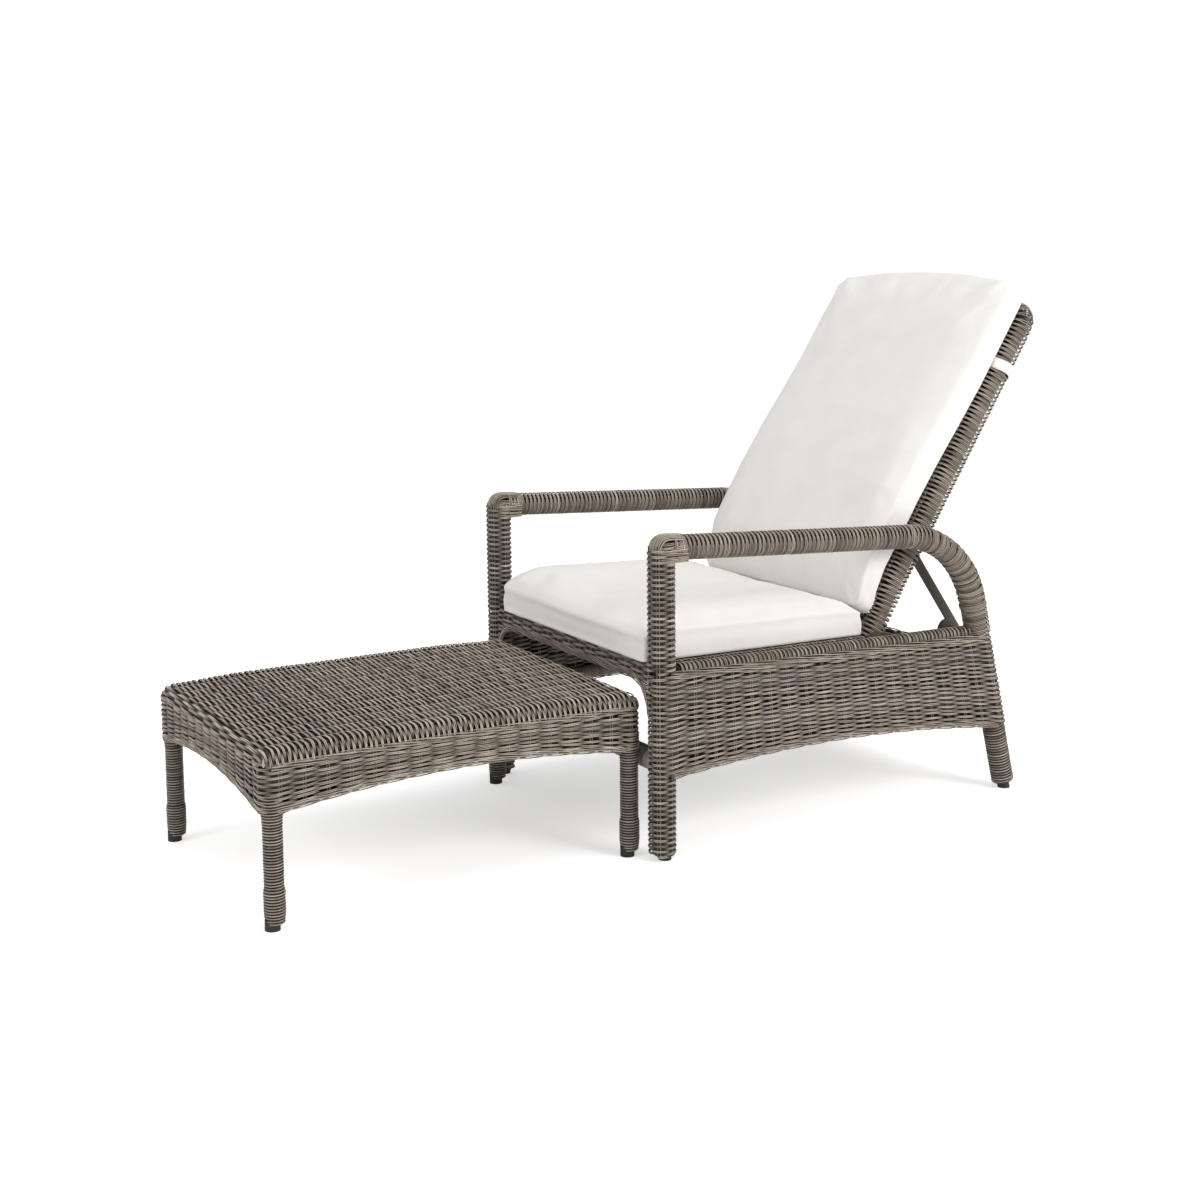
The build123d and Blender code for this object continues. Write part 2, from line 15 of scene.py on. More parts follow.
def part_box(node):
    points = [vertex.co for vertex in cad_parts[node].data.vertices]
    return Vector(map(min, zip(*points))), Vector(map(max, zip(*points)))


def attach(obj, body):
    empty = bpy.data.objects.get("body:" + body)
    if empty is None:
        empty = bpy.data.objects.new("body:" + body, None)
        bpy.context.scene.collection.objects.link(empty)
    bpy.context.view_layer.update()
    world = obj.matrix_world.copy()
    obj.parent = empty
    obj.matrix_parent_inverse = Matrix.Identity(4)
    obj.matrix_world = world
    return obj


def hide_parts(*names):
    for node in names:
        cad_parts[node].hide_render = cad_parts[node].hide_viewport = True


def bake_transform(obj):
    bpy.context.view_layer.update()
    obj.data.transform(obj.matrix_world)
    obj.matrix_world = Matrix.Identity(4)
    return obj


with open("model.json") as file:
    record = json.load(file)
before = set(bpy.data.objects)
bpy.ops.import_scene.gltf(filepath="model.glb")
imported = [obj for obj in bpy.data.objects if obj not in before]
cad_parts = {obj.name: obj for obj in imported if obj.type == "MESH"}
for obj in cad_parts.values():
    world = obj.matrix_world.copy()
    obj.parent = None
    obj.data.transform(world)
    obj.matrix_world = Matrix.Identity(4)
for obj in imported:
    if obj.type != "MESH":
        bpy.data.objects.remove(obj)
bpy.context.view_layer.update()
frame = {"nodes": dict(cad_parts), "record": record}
nodes = frame["nodes"]
tau = 2 * pi

# Sizes that the frame shares
post_low, post_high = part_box("front_post_wrap_left")
post_x = (post_low.x + post_high.x) / 2
post_y = (post_low.y + post_high.y) / 2
pole_r = (post_high.x - post_low.x) / 2
leg_wrap_past = 0.011
wrap_low = post_low.z - leg_wrap_past
arm_z = 0.615
arm_slope = radians(3.25)
bend_r = 0.199
foot_y = 0.882
leg_rake = radians(13.3)
rail_x = 0.332
rail_z = 0.368
rail_slope = radians(1.03)
rail_r = 0.019
hinge_y = 0.5415
hinge_z = 0.3584
back_tilt = radians(33.1)
back_length = 0.796
stile_x = 0.280
stool_low, stool_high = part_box("stool_top")
stool_grow = 0.0050
stool_y = (stool_low.y + stool_high.y) / 2 + stool_grow
stool_half_x = stool_high.x
stool_half_y = (stool_high.y - stool_low.y) / 2 + stool_grow
stool_leg_r = 0.020

# Strand and weave: turned_r is a strand wound round a leg or rail, step is the spacing of the
# points along a row, and shade_t is half the thickness of the dark sheets of painted shade
strand_r = 0.0013
row_pitch = 0.0052
deck_pitch = 0.0055
stake_r = 0.0014
stake_half = 0.00238
stake_pitch = 0.045
weave_amp = 0.0026
step = 0.0062
shade_t = 0.0003
turned_r = 0.00135

rng = np.random.default_rng(7)


def grid(x, y, z):
    """Points from their coordinates, each given once or for every point."""
    return np.stack(np.broadcast_arrays(x, y, z), -1).astype(float)


def circle(turn):
    """Points on a level circle of radius 1."""
    return grid(np.cos(turn), np.sin(turn), 0)


def along(y, z, x=0.0):
    """A point given by its distance behind the front posts and its height."""
    return grid(x, post_y + y, z)


def arm_height(y):
    return arm_z - y * tan(arm_slope)


def leg_y(z):
    return foot_y - z * tan(leg_rake)


def rail_height(y):
    return rail_z - y * tan(rail_slope)


def unit(v):
    return v / np.maximum(np.linalg.norm(v, axis=-1, keepdims=True), 1e-12)


def each(value, count):
    """A value for each of count points, given once or for every point."""
    return np.broadcast_to(np.asarray(value, float), (count,))


def run_of(path):
    """How far along a path each of its points lies."""
    return np.concatenate([[0], np.cumsum(np.linalg.norm(np.diff(path, axis=0), axis=1))])


def drift(count, size, scale=12):
    """A slow random wander along a strand, zero on average."""
    knots = rng.normal(0, size, max(2, count // scale + 2))
    return np.interp(np.linspace(0, len(knots) - 1, count), np.arange(len(knots)), knots)


class Strands:
    """Collects round strands and makes one mesh of them."""

    strip_rings = 64

    def __init__(self, sides=5):
        self.sides = sides
        self.points = []
        self.notes = []
        self.quads = []
        self.caps = []
        self.maps = []
        self.count = 0
        self.strip_count = 0

    def add(self, path, out, radius=strand_r, tone=None, flat=1.0, closed=False, sides=None,
            depth=None):
        """One strand along a path. out points away from the surface it lies on.

        depth is painted shade: how lit its outer side is painted, from 0 to 1. Where it is
        given, the inner side is painted as lit as the outer one is painted shaded.
        """
        path = np.asarray(path, float)
        rings = len(path)
        sides = sides or self.sides
        out = np.broadcast_to(np.asarray(out, float), path.shape)
        if closed:
            tangent = unit(np.roll(path, -1, 0) - np.roll(path, 1, 0))
        else:
            tangent = unit(np.gradient(path, axis=0))
        side = unit(np.cross(tangent, out))
        up = np.cross(side, tangent)
        angle = np.arange(sides) * tau / sides
        radius = each(radius, rings)[:, None, None]
        ring = up[:, None] * np.cos(angle)[None, :, None] * flat
        ring = ring + side[:, None] * np.sin(angle)[None, :, None]
        self.points.append((path[:, None] + radius * ring).reshape(-1, 3))
        if tone is None:
            tone = np.clip(rng.normal(0.55, 0.14), 0.2, 0.95)
        note = grid(each(tone, rings), run_of(path) + rng.uniform(0, 50), 0)
        note = np.repeat(note, sides, axis=0)
        # Painted shade: the third value of the note darkens the strand's sides and the side
        # turned in, where shade would fall
        outer = each(1.0 if depth is None else depth, rings)
        inner = outer if depth is None else 1 - outer
        facing = np.cos(angle)
        side_painted_light = np.where(facing[None, :] > 0, outer[:, None], inner[:, None])
        note[:, 2] = ((0.08 + 0.92 * side_painted_light) * (0.22 + 0.78 * np.abs(facing))).ravel()
        self.notes.append(note)
        index = self.count + np.arange(rings * sides).reshape(rings, sides)
        near = index if closed else index[:-1]
        far = np.roll(index, -1, 0) if closed else index[1:]
        quad = np.stack([near, np.roll(near, -1, 1), np.roll(far, -1, 1), far], -1)
        self.quads.append(quad.reshape(-1, 4))
        ring_number = np.repeat(np.arange(len(near)), sides)
        strip = self.strip_count + ring_number // self.strip_rings
        face = np.tile(np.arange(sides), len(near)) / sides
        self.maps.append(np.stack([
            strip, (ring_number % self.strip_rings) / self.strip_rings, face,
            face + 1 / sides,
        ], 1))
        self.strip_count = int(strip[-1]) + 1
        if not closed:
            self.caps += [index[0][::-1], index[-1]]
        self.count += rings * sides

    def mesh(self, name):
        """The mesh of every strand, with a UV map named OFBake that lays the strands out in
        strips.
        """
        quads = np.concatenate(self.quads)
        maps = np.concatenate(self.maps)
        made = bpy.data.meshes.new(name)
        made.vertices.add(self.count)
        points = np.concatenate(self.points).astype(np.float32)
        made.vertices.foreach_set("co", points.ravel())
        loops = np.concatenate([quads.ravel()] + self.caps).astype(np.int32)
        made.loops.add(len(loops))
        made.loops.foreach_set("vertex_index", loops)
        sizes = np.array([4] * len(quads) + [len(cap) for cap in self.caps])
        starts = np.concatenate([[0], np.cumsum(sizes)[:-1]]).astype(np.int32)
        made.polygons.add(len(starts))
        made.polygons.foreach_set("loop_start", starts)
        made.polygons.foreach_set("use_smooth", np.ones(len(starts), bool))
        note = made.attributes.new("strand", "FLOAT_VECTOR", "POINT")
        note.data.foreach_set("vector", np.concatenate(self.notes).astype(np.float32).ravel())
        u = maps[:, 1, None] + np.array([0, 0, 1, 1]) / self.strip_rings
        v = np.stack([maps[:, 2], maps[:, 3], maps[:, 3], maps[:, 2]], 1)
        v = (maps[:, 0, None] + 0.08 + 0.84 * v) / self.strip_count
        uv = np.zeros((len(loops), 2), np.float32)
        uv[:quads.size, 0] = u.ravel()
        uv[:quads.size, 1] = v.ravel()
        layer = made.uv_layers.new(name="OFBake")
        layer.data.foreach_set("uv", uv.ravel())
        made.update(calc_edges=True)
        return made

    def piece(self, name, body, material, *replaced):
        """One object of the strands, riding a body in place of its frame nodes."""
        made = bpy.data.objects.new(name, self.mesh(name))
        return dress(made, body, material, "strand", *replaced)


def dress(piece, body, material, slot, *replaced):
    """Links an object, gives it its finish and sets what it rides and replaces."""
    bpy.context.scene.collection.objects.link(piece)
    piece.data.materials.clear()
    piece.data.materials.append(material)
    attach(piece, body)
    if replaced:
        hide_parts(*replaced)
    return piece


def pair_of(strands, name, body, material, *replaced):
    """A left-hand piece of the strands and its mirror image."""
    left = strands.piece(name + "_left", body, material, *[r + "_left" for r in replaced])
    data = left.data.copy()
    data.name = name + "_right"
    data.transform(Matrix.Scale(-1, 4, (1, 0, 0)))
    data.flip_normals()
    right = bpy.data.objects.new(name + "_right", data)
    dress(right, body, material, "strand", *[r + "_right" for r in replaced])


class Pole:
    """A centre line in one plane, with the direction across that plane."""

    def __init__(self, points, across=(1, 0, 0)):
        self.points = np.asarray(points, float)
        self.run = run_of(self.points)
        self.length = self.run[-1]
        self.across = unit(np.asarray(across, float))

    def spot(self, s):
        return np.stack([np.interp(s, self.run, self.points[:, k]) for k in range(3)], -1)

    def at(self, s):
        """Points on the line, and the direction away from it in its plane."""
        s = np.clip(s, 0, self.length)
        ahead = unit(self.spot(s + 0.003) - self.spot(s - 0.003))
        return self.spot(s), unit(np.cross(ahead, self.across))

    def ring(self, s, angle, radius):
        """Points round the line. Angle 0 is across, a quarter turn is away."""
        centre, away = self.at(s)
        out = self.across * np.cos(angle)[:, None] + away * np.sin(angle)[:, None]
        return centre + out * np.broadcast_to(radius, angle.shape)[:, None], out


def smooth(t):
    t = np.clip(t, 0, 1)
    return t * t * (3 - 2 * t)


def tones_of(phase, turns, tone=0.55):
    """The tone at each point of a winding, from one for each turn."""
    tones = np.clip(rng.normal(tone - 0.03, 0.17, int(turns) + 2), 0.12, 0.95)
    return np.interp(phase / tau, np.arange(len(tones)), tones)


def sized(radius, s):
    """The radius at places along a pole, from a number or a function of the place."""
    return radius(s) if callable(radius) else np.full(len(s), radius)


def shade_sleeve(strands, pole, radius, start=0.0, end=None, steps=30):
    """A dark sleeve of painted shade under a wrap, standing in for the shadow that its gaps show.
    """
    s = np.linspace(start, pole.length if end is None else end, steps)
    path, _ = pole.at(s)
    strands.add(path, pole.across, sized(radius, s), tone=0.0, sides=14)


def wind(strands, pole, radius, start, end, pitch, turn_steps=18, thick=strand_r, flat=1.0,
         group=1, dip=0.0, lift=0.0, top=0.0, reach=(0.30, 0.70), tilt=0.0, tone=0.55,
         both=False, swell=0.0, pinch=0.0):
    """Winds one strand round a pole.

    On the side that top names, the last turn of each group dips under the others, which
    rise and close up by pinch; both has it do so on the far side too. tilt leans each turn
    along the pole, and swell makes the pole deeper than it is wide.
    """
    turns = (end - start) / pitch
    count = int(turns * turn_steps) + 1
    phase = np.linspace(0, turns * tau, count)
    turn = np.floor(phase / tau)
    local = phase - turn * tau
    side = np.abs(np.cos(local)) if both else -np.cos(local)
    weight = smooth((side - reach[0]) / (reach[1] - reach[0]))
    under = (turn % group == group - 1) & (group > 1)
    s = start + phase / tau * pitch + tilt * np.cos(local) + drift(count, 0.00015, turn_steps)
    s = s + pinch * weight * np.where(turn % 3 == 0, 1, np.where(turn % 3 == 1, -1, 0))
    size = sized(radius, s) + np.where(under, -dip, lift) * weight
    size = size + drift(count, 0.00018, turn_steps) - 0.0004 * under
    size = size + swell * np.sin(local + top) ** 2
    tones = tones_of(phase, turns, tone)
    points, out = pole.ring(np.clip(s, start, end), local + top + pi, size)
    # Painted shade: turns that dip under the others are painted darker, the rest lighter
    depth = np.where(under, 0.55 - 0.53 * weight, 0.9 + 0.1 * weight)
    strands.add(points, out, thick, tones, flat, depth=depth)


def spine(strands, pole, radius, angle, start, end, thick=stake_r):
    """A strand that runs along a pole at a steady angle round it."""
    s = np.linspace(start, end, max(3, int((end - start) / 0.012)))
    points, out = pole.ring(s, np.full(len(s), angle), sized(radius, s))
    # Painted shade: a spine, sunk between the turns, is painted half lit
    strands.add(points, out, thick, depth=0.5)


def rope(strands, path, out, lay, spread, phase=0.0, closed=False):
    """Three strands twisted round each other with a long lay, as in a border."""
    path = np.asarray(path, float)
    out = np.broadcast_to(np.asarray(out, float), path.shape)
    ahead = unit(np.gradient(path, axis=0))
    side = unit(np.cross(ahead, out))
    run = run_of(path)
    if closed:
        total = run[-1] + np.linalg.norm(path[0] - path[-1])
        lay = total / max(1, round(total / lay))
    for k in range(3):
        turn = (tau * run / lay + tau * k / 3 + phase)[:, None]
        where = path + spread * (out * np.cos(turn) * 0.7 + side * np.sin(turn))
        # Painted shade: each strand of the rope is painted darker where it turns in under the
        # others
        strands.add(where, out, closed=closed, depth=0.6 + 0.4 * np.cos(turn[:, 0]))


def ropes(strands, line, out, lay, spread, places, closed=False):
    """A border of ropes. places gives how far each lies above the line, and its phase."""
    for above, phase in places:
        rope(strands, line + (0, 0, above), out, lay, spread, phase, closed)


def shade(strands, path, out, half, closed=False):
    """A thin dark sheet of painted shade inside a weave, so that its gaps are as dark as the
    shadow in a deep weave.
    """
    half = each(half, len(path))
    strands.add(path, out, half, tone=0.0, flat=shade_t / half.max(), closed=closed, sides=4)


def over_under(phase):
    """1 in front of a stake and -1 behind the next, with flat crests."""
    wave = np.cos(phase)
    return wave * (1.5 - 0.5 * wave * wave)


def weave_row(strands, path, out, rise, phase, amp=weave_amp, closed=False, low=0.0, high=1.0):
    """A row of two strands side by side that goes over and under the stakes.

    low and high say how lit its troughs and crests are painted: painted shade where it passes
    behind a stake, lighter where it lies in front.
    """
    count = len(path)
    wave = amp * over_under(phase)
    tone = np.clip(rng.normal(0.55, 0.09), 0.25, 0.9)
    wander = drift(count, 0.0009, 7)
    wander[-1] = wander[0]
    for sign in (-1, 1):
        shift = wander + sign * strand_r * 0.96 + drift(count, 0.00022, 5)
        where = path + out * (wave + drift(count, 0.0002, 5))[:, None] + rise * shift[:, None]
        strands.add(where, out, tone=np.clip(tone + rng.normal(0, 0.06), 0.2, 0.95),
                    closed=closed, depth=low + (high - low) * (0.5 + 0.5 * wave / amp))


def stake(strands, path, out, side, depth=0.5):
    """A stake of two strands, which the rows go over and under."""
    path = np.asarray(path, float)
    side = np.asarray(side, float)
    for sign in (-1, 1):
        # Painted shade: a stake is painted as lit as depth says, half by default, as it lies
        # under the rows
        strands.add(path + side * sign * stake_half, out, stake_r, depth=depth)


def bent(points, radii, steps=10):
    """A path of straight runs with round corners, in order."""
    points = [np.asarray(p, float) for p in points]
    path = [points[0]]
    for k in range(1, len(points) - 1):
        before = unit(points[k - 1] - points[k])
        after = unit(points[k + 1] - points[k])
        half = np.arccos(np.clip(before @ after, -1, 1)) / 2
        reach = radii[k - 1] / tan(half)
        centre = points[k] + unit(before + after) * radii[k - 1] / sin(half)
        first = points[k] + before * reach - centre
        last = points[k] + after * reach - centre
        sweep = pi - 2 * half
        for t in np.linspace(0, 1, steps + 1):
            a, b = sin((1 - t) * sweep) / sin(sweep), sin(t * sweep) / sin(sweep)
            path.append(centre + a * first + b * last)
    path.append(points[-1])
    return np.array(path)


def dense(path, size):
    """The same path with points at an even spacing."""
    pole = Pole(path)
    return pole.spot(np.linspace(0, pole.length, max(2, int(pole.length / size) + 1)))


# Finishes

def principled(name):
    material = bpy.data.materials.new(name)
    material.use_nodes = True
    tree = material.node_tree
    return material, tree, tree.nodes["Principled BSDF"]


def add_node(tree, kind, values=None, **links):
    """A shader node with values on some of its inputs and sockets linked to others."""
    node = tree.nodes.new("ShaderNode" + kind)
    for name, value in (values or {}).items():
        node.inputs[name].default_value = value
    for name, socket in links.items():
        tree.links.new(socket, node.inputs[name])
    return node


def ramp_of(tree, source, stops):
    """A colour ramp over a socket, with the given stops."""
    ramp = add_node(tree, "ValToRGB", Fac=source)
    elements = ramp.color_ramp.elements
    while len(elements) > 1:
        elements.remove(elements[-1])
    (start, first), *rest = stops
    elements[0].position = start
    elements[0].color = (*first, 1)
    for place, colour in rest:
        elements.new(place).color = (*colour, 1)
    return ramp.outputs[0]


def maths(tree, kind, a, b):
    """A maths node on two sockets or numbers."""
    node = tree.nodes.new("ShaderNodeMath")
    node.operation = kind
    for socket, value in zip(node.inputs, (a, b)):
        if isinstance(value, (int, float)):
            socket.default_value = value
        else:
            tree.links.new(value, socket)
    return node.outputs[0]


def add_bump(tree, shader, height, strength, distance):
    bump = add_node(tree, "Bump", {"Strength": strength, "Distance": distance}, Height=height)
    tree.links.new(bump.outputs[0], shader.inputs["Normal"])


def add_roughness(tree, shader, mottle, low, high):
    rough = add_node(tree, "MapRange", {"To Min": low, "To Max": high}, Value=mottle)
    tree.links.new(rough.outputs[0], shader.inputs["Roughness"])


def strand_finish():
    """Extruded resin strand: mottled along its length, each strand with its own tone.

    Its attribute holds the tone, the run along the strand and how lit the place is painted:
    painted shade in gaps, on strand sides and where a strand goes under, and a painted
    highlight on the footstool's top. Pieces of tone zero, the dark sleeves and sheets, are
    painted shade near black.
    """
    material, tree, shader = principled("resin_strand")
    note = tree.nodes.new("ShaderNodeAttribute")
    note.attribute_name = "strand"
    tone, run, painted_light_level = add_node(tree, "SeparateXYZ", Vector=note.outputs["Vector"]).outputs
    mottle = add_node(tree, "TexNoise", {"Scale": 1.0, "Detail": 3})
    mottle.noise_dimensions = "1D"
    tree.links.new(maths(tree, "MULTIPLY", run, 55.0), mottle.inputs["W"])
    spread = maths(tree, "MULTIPLY", maths(tree, "SUBTRACT", mottle.outputs[0], 0.5), 0.42)
    # Painted shade: strands of tone zero, the dark sleeves and sheets, are painted near black
    outside_painted_shade = maths(tree, "GREATER_THAN", tone, 0.05)
    level = maths(tree, "MULTIPLY", maths(tree, "ADD", tone, spread), outside_painted_shade)
    colour = ramp_of(tree, level, [
        (0.0, (0.012, 0.009, 0.007)),
        (0.12, (0.13, 0.10, 0.076)),
        (0.45, (0.34, 0.28, 0.225)),
        (0.75, (0.53, 0.455, 0.375)),
        (1.0, (0.70, 0.62, 0.53)),
    ])
    # Painted shade and painted highlight: the colour is scaled by how lit the place is painted
    colour_with_painted_light = add_node(tree, "VectorMath", Vector=colour)
    colour_with_painted_light.operation = "SCALE"
    tree.links.new(maths(tree, "POWER", painted_light_level, 1.25), colour_with_painted_light.inputs["Scale"])
    tree.links.new(colour_with_painted_light.outputs[0], shader.inputs["Base Color"])
    add_roughness(tree, shader, mottle.outputs[0], 0.34, 0.54)
    grain = add_node(tree, "TexNoise", {"Scale": 900, "Detail": 2})
    add_bump(tree, shader, grain.outputs[0], 0.25, 0.0003)
    return material


def plain_finish(name, dark, light, scale, rough, metallic=0.0):
    """Paint, rubber or bare metal: a slow mottle, a fine grain and uneven roughness."""
    material, tree, shader = principled(name)
    place = tree.nodes.new("ShaderNodeTexCoord").outputs["Object"]
    mottle = add_node(tree, "TexNoise", {"Scale": scale, "Detail": 6}, Vector=place).outputs[0]
    colour = ramp_of(tree, mottle, [(0.3, dark), (0.7, light)])
    tree.links.new(colour, shader.inputs["Base Color"])
    add_roughness(tree, shader, mottle, rough - 0.1, rough + 0.1)
    shader.inputs["Metallic"].default_value = metallic
    grain = add_node(tree, "TexNoise", {"Scale": 1400}, Vector=place)
    add_bump(tree, shader, grain.outputs[0], 0.4, 0.0002)
    return material


def canvas_finish():
    """Off-white outdoor canvas: a fine plain weave with slight slubs and a soft sheen."""
    material, tree, shader = principled("canvas")
    place = tree.nodes.new("ShaderNodeTexCoord").outputs["Object"]
    threads = []
    for turn in (0, radians(90)):
        turned = add_node(tree, "Mapping", {"Rotation": (0, 0, turn)}, Vector=place)
        wave = add_node(tree, "TexWave", {"Scale": 420, "Distortion": 1.2, "Detail": 1},
                        Vector=turned.outputs[0])
        threads.append(wave.outputs["Fac"])
    slub = add_node(tree, "TexNoise", {"Scale": 14, "Detail": 8}, Vector=place).outputs[0]
    colour = ramp_of(tree, slub, [
        (0.3, (0.722, 0.704, 0.672)), (0.7, (0.762, 0.745, 0.712)),
    ])
    tree.links.new(colour, shader.inputs["Base Color"])
    shader.inputs["Roughness"].default_value = 0.9
    shader.inputs["Sheen Weight"].default_value = 0.15
    shader.inputs["Sheen Roughness"].default_value = 0.5
    add_bump(tree, shader, maths(tree, "MULTIPLY", *threads), 0.35, 0.0003)
    return material


strand = strand_finish()
canvas = canvas_finish()
bronze = plain_finish("brown_paint", (0.050, 0.036, 0.027), (0.078, 0.058, 0.044), 40, 0.42)
tube_paint = plain_finish("tube_paint", (0.16, 0.13, 0.10), (0.21, 0.17, 0.135), 30, 0.45)
steel = plain_finish("steel", (0.42, 0.42, 0.41), (0.55, 0.55, 0.54), 60, 0.35, metallic=1.0)
rubber = plain_finish("black_rubber", (0.010, 0.010, 0.010), (0.022, 0.021, 0.020), 50, 0.62)
nylon = plain_finish("nylon", (0.02, 0.02, 0.02), (0.035, 0.035, 0.035), 50, 0.5)
slot_finish = {
    "strand": strand, "frame_tube": tube_paint, "bracket": bronze, "pin": steel,
    "bush": nylon, "cap": rubber, "cushion": canvas, "strap": canvas,
}
for sub in frame["record"]["subparts"]:
    node = nodes[sub["node"]]
    node.data.materials.clear()
    node.data.materials.append(slot_finish[sub["material_slot"]])

# Side frames: the centre line of arm, bend and leg, and that of the post
leg_lean = tan(leg_rake)
bend_corner_y = (foot_y - arm_z * leg_lean) / (1 - leg_lean * tan(arm_slope))
foot_z = wrap_low + 0.006
frame_line = bent(
    [
        along(0, arm_z, post_x),
        along(bend_corner_y, arm_height(bend_corner_y), post_x),
        along(leg_y(foot_z), foot_z, post_x),
    ],
    [bend_r],
    steps=40,
)
side_pole = Pole(frame_line)
post_front = -0.0050
post_pole = Pole([along(post_front, wrap_low, post_x), along(post_front, post_high.z, post_x)])
bend_run = bend_r * tan((pi / 2 - leg_rake - arm_slope) / 2)
arm_end = hypot(bend_corner_y, bend_corner_y * tan(arm_slope)) - bend_run
bend_end = arm_end + bend_r * (pi / 2 - leg_rake - arm_slope)
up_side = -pi / 2

# Side panel: post_stake is the first stake's angle round the post, stake_turn the angle between
# stakes there, row_turn how far a row goes round post and leg, and bulge_y the length over
# which it comes from there back to the panel
panel_x = 0.3562
panel_low_front = 0.169
panel_low_middle = 0.188
panel_low_rear = 0.149
panel_middle_y = 0.377
panel_top_front = 0.376
panel_top_rear = 0.356
panel_round_r = 0.0243
post_stake = radians(-48.6)
stake_turn = radians(72)
panel_stakes = 19
panel_step = 0.0066
row_turn = 1.3 * pi
bulge_y = 0.02


def panel_low(y):
    """The arched lower edge."""
    rear = leg_y(panel_low_rear)
    bow = np.polyfit([0, panel_middle_y, rear],
                     [panel_low_front, panel_low_middle, panel_low_rear], 2)
    return np.polyval(bow, np.clip(y, 0, rear))


def panel_top(y):
    return panel_top_front + (panel_top_rear - panel_top_front) * y / leg_y(panel_top_rear)


def panel_level(y, share):
    return panel_low(y) * (1 - share) + panel_top(y) * share


def panel_phase(y, end_y):
    """The phase of a row's wave: a stake wherever it is a multiple of pi."""
    first = -post_stake / stake_turn
    return pi * (first + (panel_stakes - first) * y / end_y)


def panel_end(share):
    """How far back a row meets the raked leg."""
    y = leg_y(0.25)
    for _ in range(3):
        y = leg_y(panel_level(y, share))
    return y


def panel_row(share):
    """A row at a share of the panel's height: round the post, along and round the leg."""
    end_y = panel_end(share)
    turn = np.linspace(-row_turn, 0, 22)[:-1]
    out = circle(turn)
    front = along(0, panel_level(0, share), post_x) + panel_round_r * out
    front[:, 1] += post_front
    y = np.linspace(0, end_y, int(end_y / panel_step))
    bulge = post_x + panel_round_r - panel_x
    x = panel_x + bulge * (np.exp(-(y / bulge_y) ** 2) + np.exp(-((end_y - y) / bulge_y) ** 2))
    middle = along(y, panel_level(y, share), x)
    round_leg = np.linspace(0, row_turn, 22)[1:]
    leg_out = circle(round_leg)
    rear = along(end_y, panel_level(end_y, share), post_x) + panel_round_r * leg_out
    phase = np.concatenate([
        pi * (turn - post_stake) / stake_turn,
        panel_phase(y, end_y),
        pi * (panel_stakes + round_leg / stake_turn),
    ])
    outs = np.concatenate([out, np.tile([1.0, 0, 0], (len(y), 1)), leg_out])
    return np.concatenate([front, middle, rear]), outs, phase


def side_panels():
    strands = Strands()
    rise = np.array([0.0, 0, 1])
    rows = int((panel_top_front - panel_low_front) / row_pitch) - 1
    for k in range(rows):
        path, out, phase = panel_row((k + 1) / (rows + 1.4))
        weave_row(strands, path, out, rise, phase + pi * k)
    first = -post_stake / stake_turn
    for j in range(1, panel_stakes + 1):
        part = (j - first) / (panel_stakes - first)
        share = np.linspace(0, 0.985, 10)
        y = np.array([part * panel_end(t) for t in share])
        path = along(y, panel_level(y, share), panel_x)
        if j == panel_stakes:
            path[:, 0] = post_x + panel_round_r
        stake(strands, path, (1, 0, 0), (0, 1, 0))
    y = np.linspace(0.004, leg_y(panel_top_rear) + 0.01, 120)
    ropes(strands, along(y, panel_top(y), panel_x + 0.0018), (1, 0, 0), 0.19, 0.0032,
          ((-0.0025, 0.0), (-0.0075, 2.0), (-0.0115, 4.0)))
    y = np.linspace(0.006, leg_y(panel_low_rear) - 0.004, 120)
    ropes(strands, along(y, panel_low(y), panel_x + 0.0005), (1, 0, 0), 0.17, 0.0030,
          ((-0.0028, 1.0), (0.0006, 3.0), (0.0044, 5.0)))
    for low, high in ((0.0, 0.55), (0.45, 1.0)):
        y = np.linspace(0.006, panel_end(high) - 0.006, 60)
        middle = along(y, panel_level(y, (low + high) / 2), panel_x - 0.0006)
        tall = panel_level(y, high) - panel_level(y, low)
        shade(strands, middle, (1, 0, 0), tall / 2 - 0.0003)
    pair_of(strands, "side_panel_weave", "chair", strand, "side_panel")


# Wraps of the side frames
post_weave_r = 0.0246
post_pitch = 0.0054
# core_r is the radius of the dark sleeves of painted shade under the wraps
core_r = 0.0182


def post_rows(strands, start, end):
    """The post's own rows, one to a turn, over and under five stakes."""
    turns = (end - start) / post_pitch
    count = int(turns * 30)
    phase = np.linspace(0, turns * tau, count)
    angle = phase + post_stake
    wave = weave_amp * over_under(pi * phase / stake_turn)
    tones = tones_of(phase, turns)
    for sign in (-1, 1):
        s = start + phase / tau * post_pitch + sign * 0.0012 + drift(count, 0.00025, 8)
        points, out = post_pole.ring(s, angle, post_weave_r + wave + drift(count, 0.0002, 8))
        # Painted shade: each row is painted darker where it passes behind a stake
        strands.add(points, out, turned_r, tones, depth=0.5 + 0.5 * wave / weave_amp)


def round_stakes(strands, pole, radius, first, gap, start, end):
    """Five pairs of stakes round a pole."""
    for j in range(5):
        for side in (-1, 1):
            spine(strands, pole, radius, first + j * stake_turn + side * gap, start, end)


def front_posts():
    strands = Strands()
    post_rows(strands, 0.0018, panel_low_front - wrap_low + 0.001)
    post_rows(strands, panel_top_front - wrap_low - 0.001, post_pole.length - 0.026)
    round_stakes(strands, post_pole, post_weave_r, post_stake, 0.115, 0.0012,
                 post_pole.length - 0.02)
    shade_sleeve(strands, post_pole, core_r, 0.0, post_pole.length - 0.012)
    pair_of(strands, "front_post_weave", "chair", strand, "front_post_wrap")


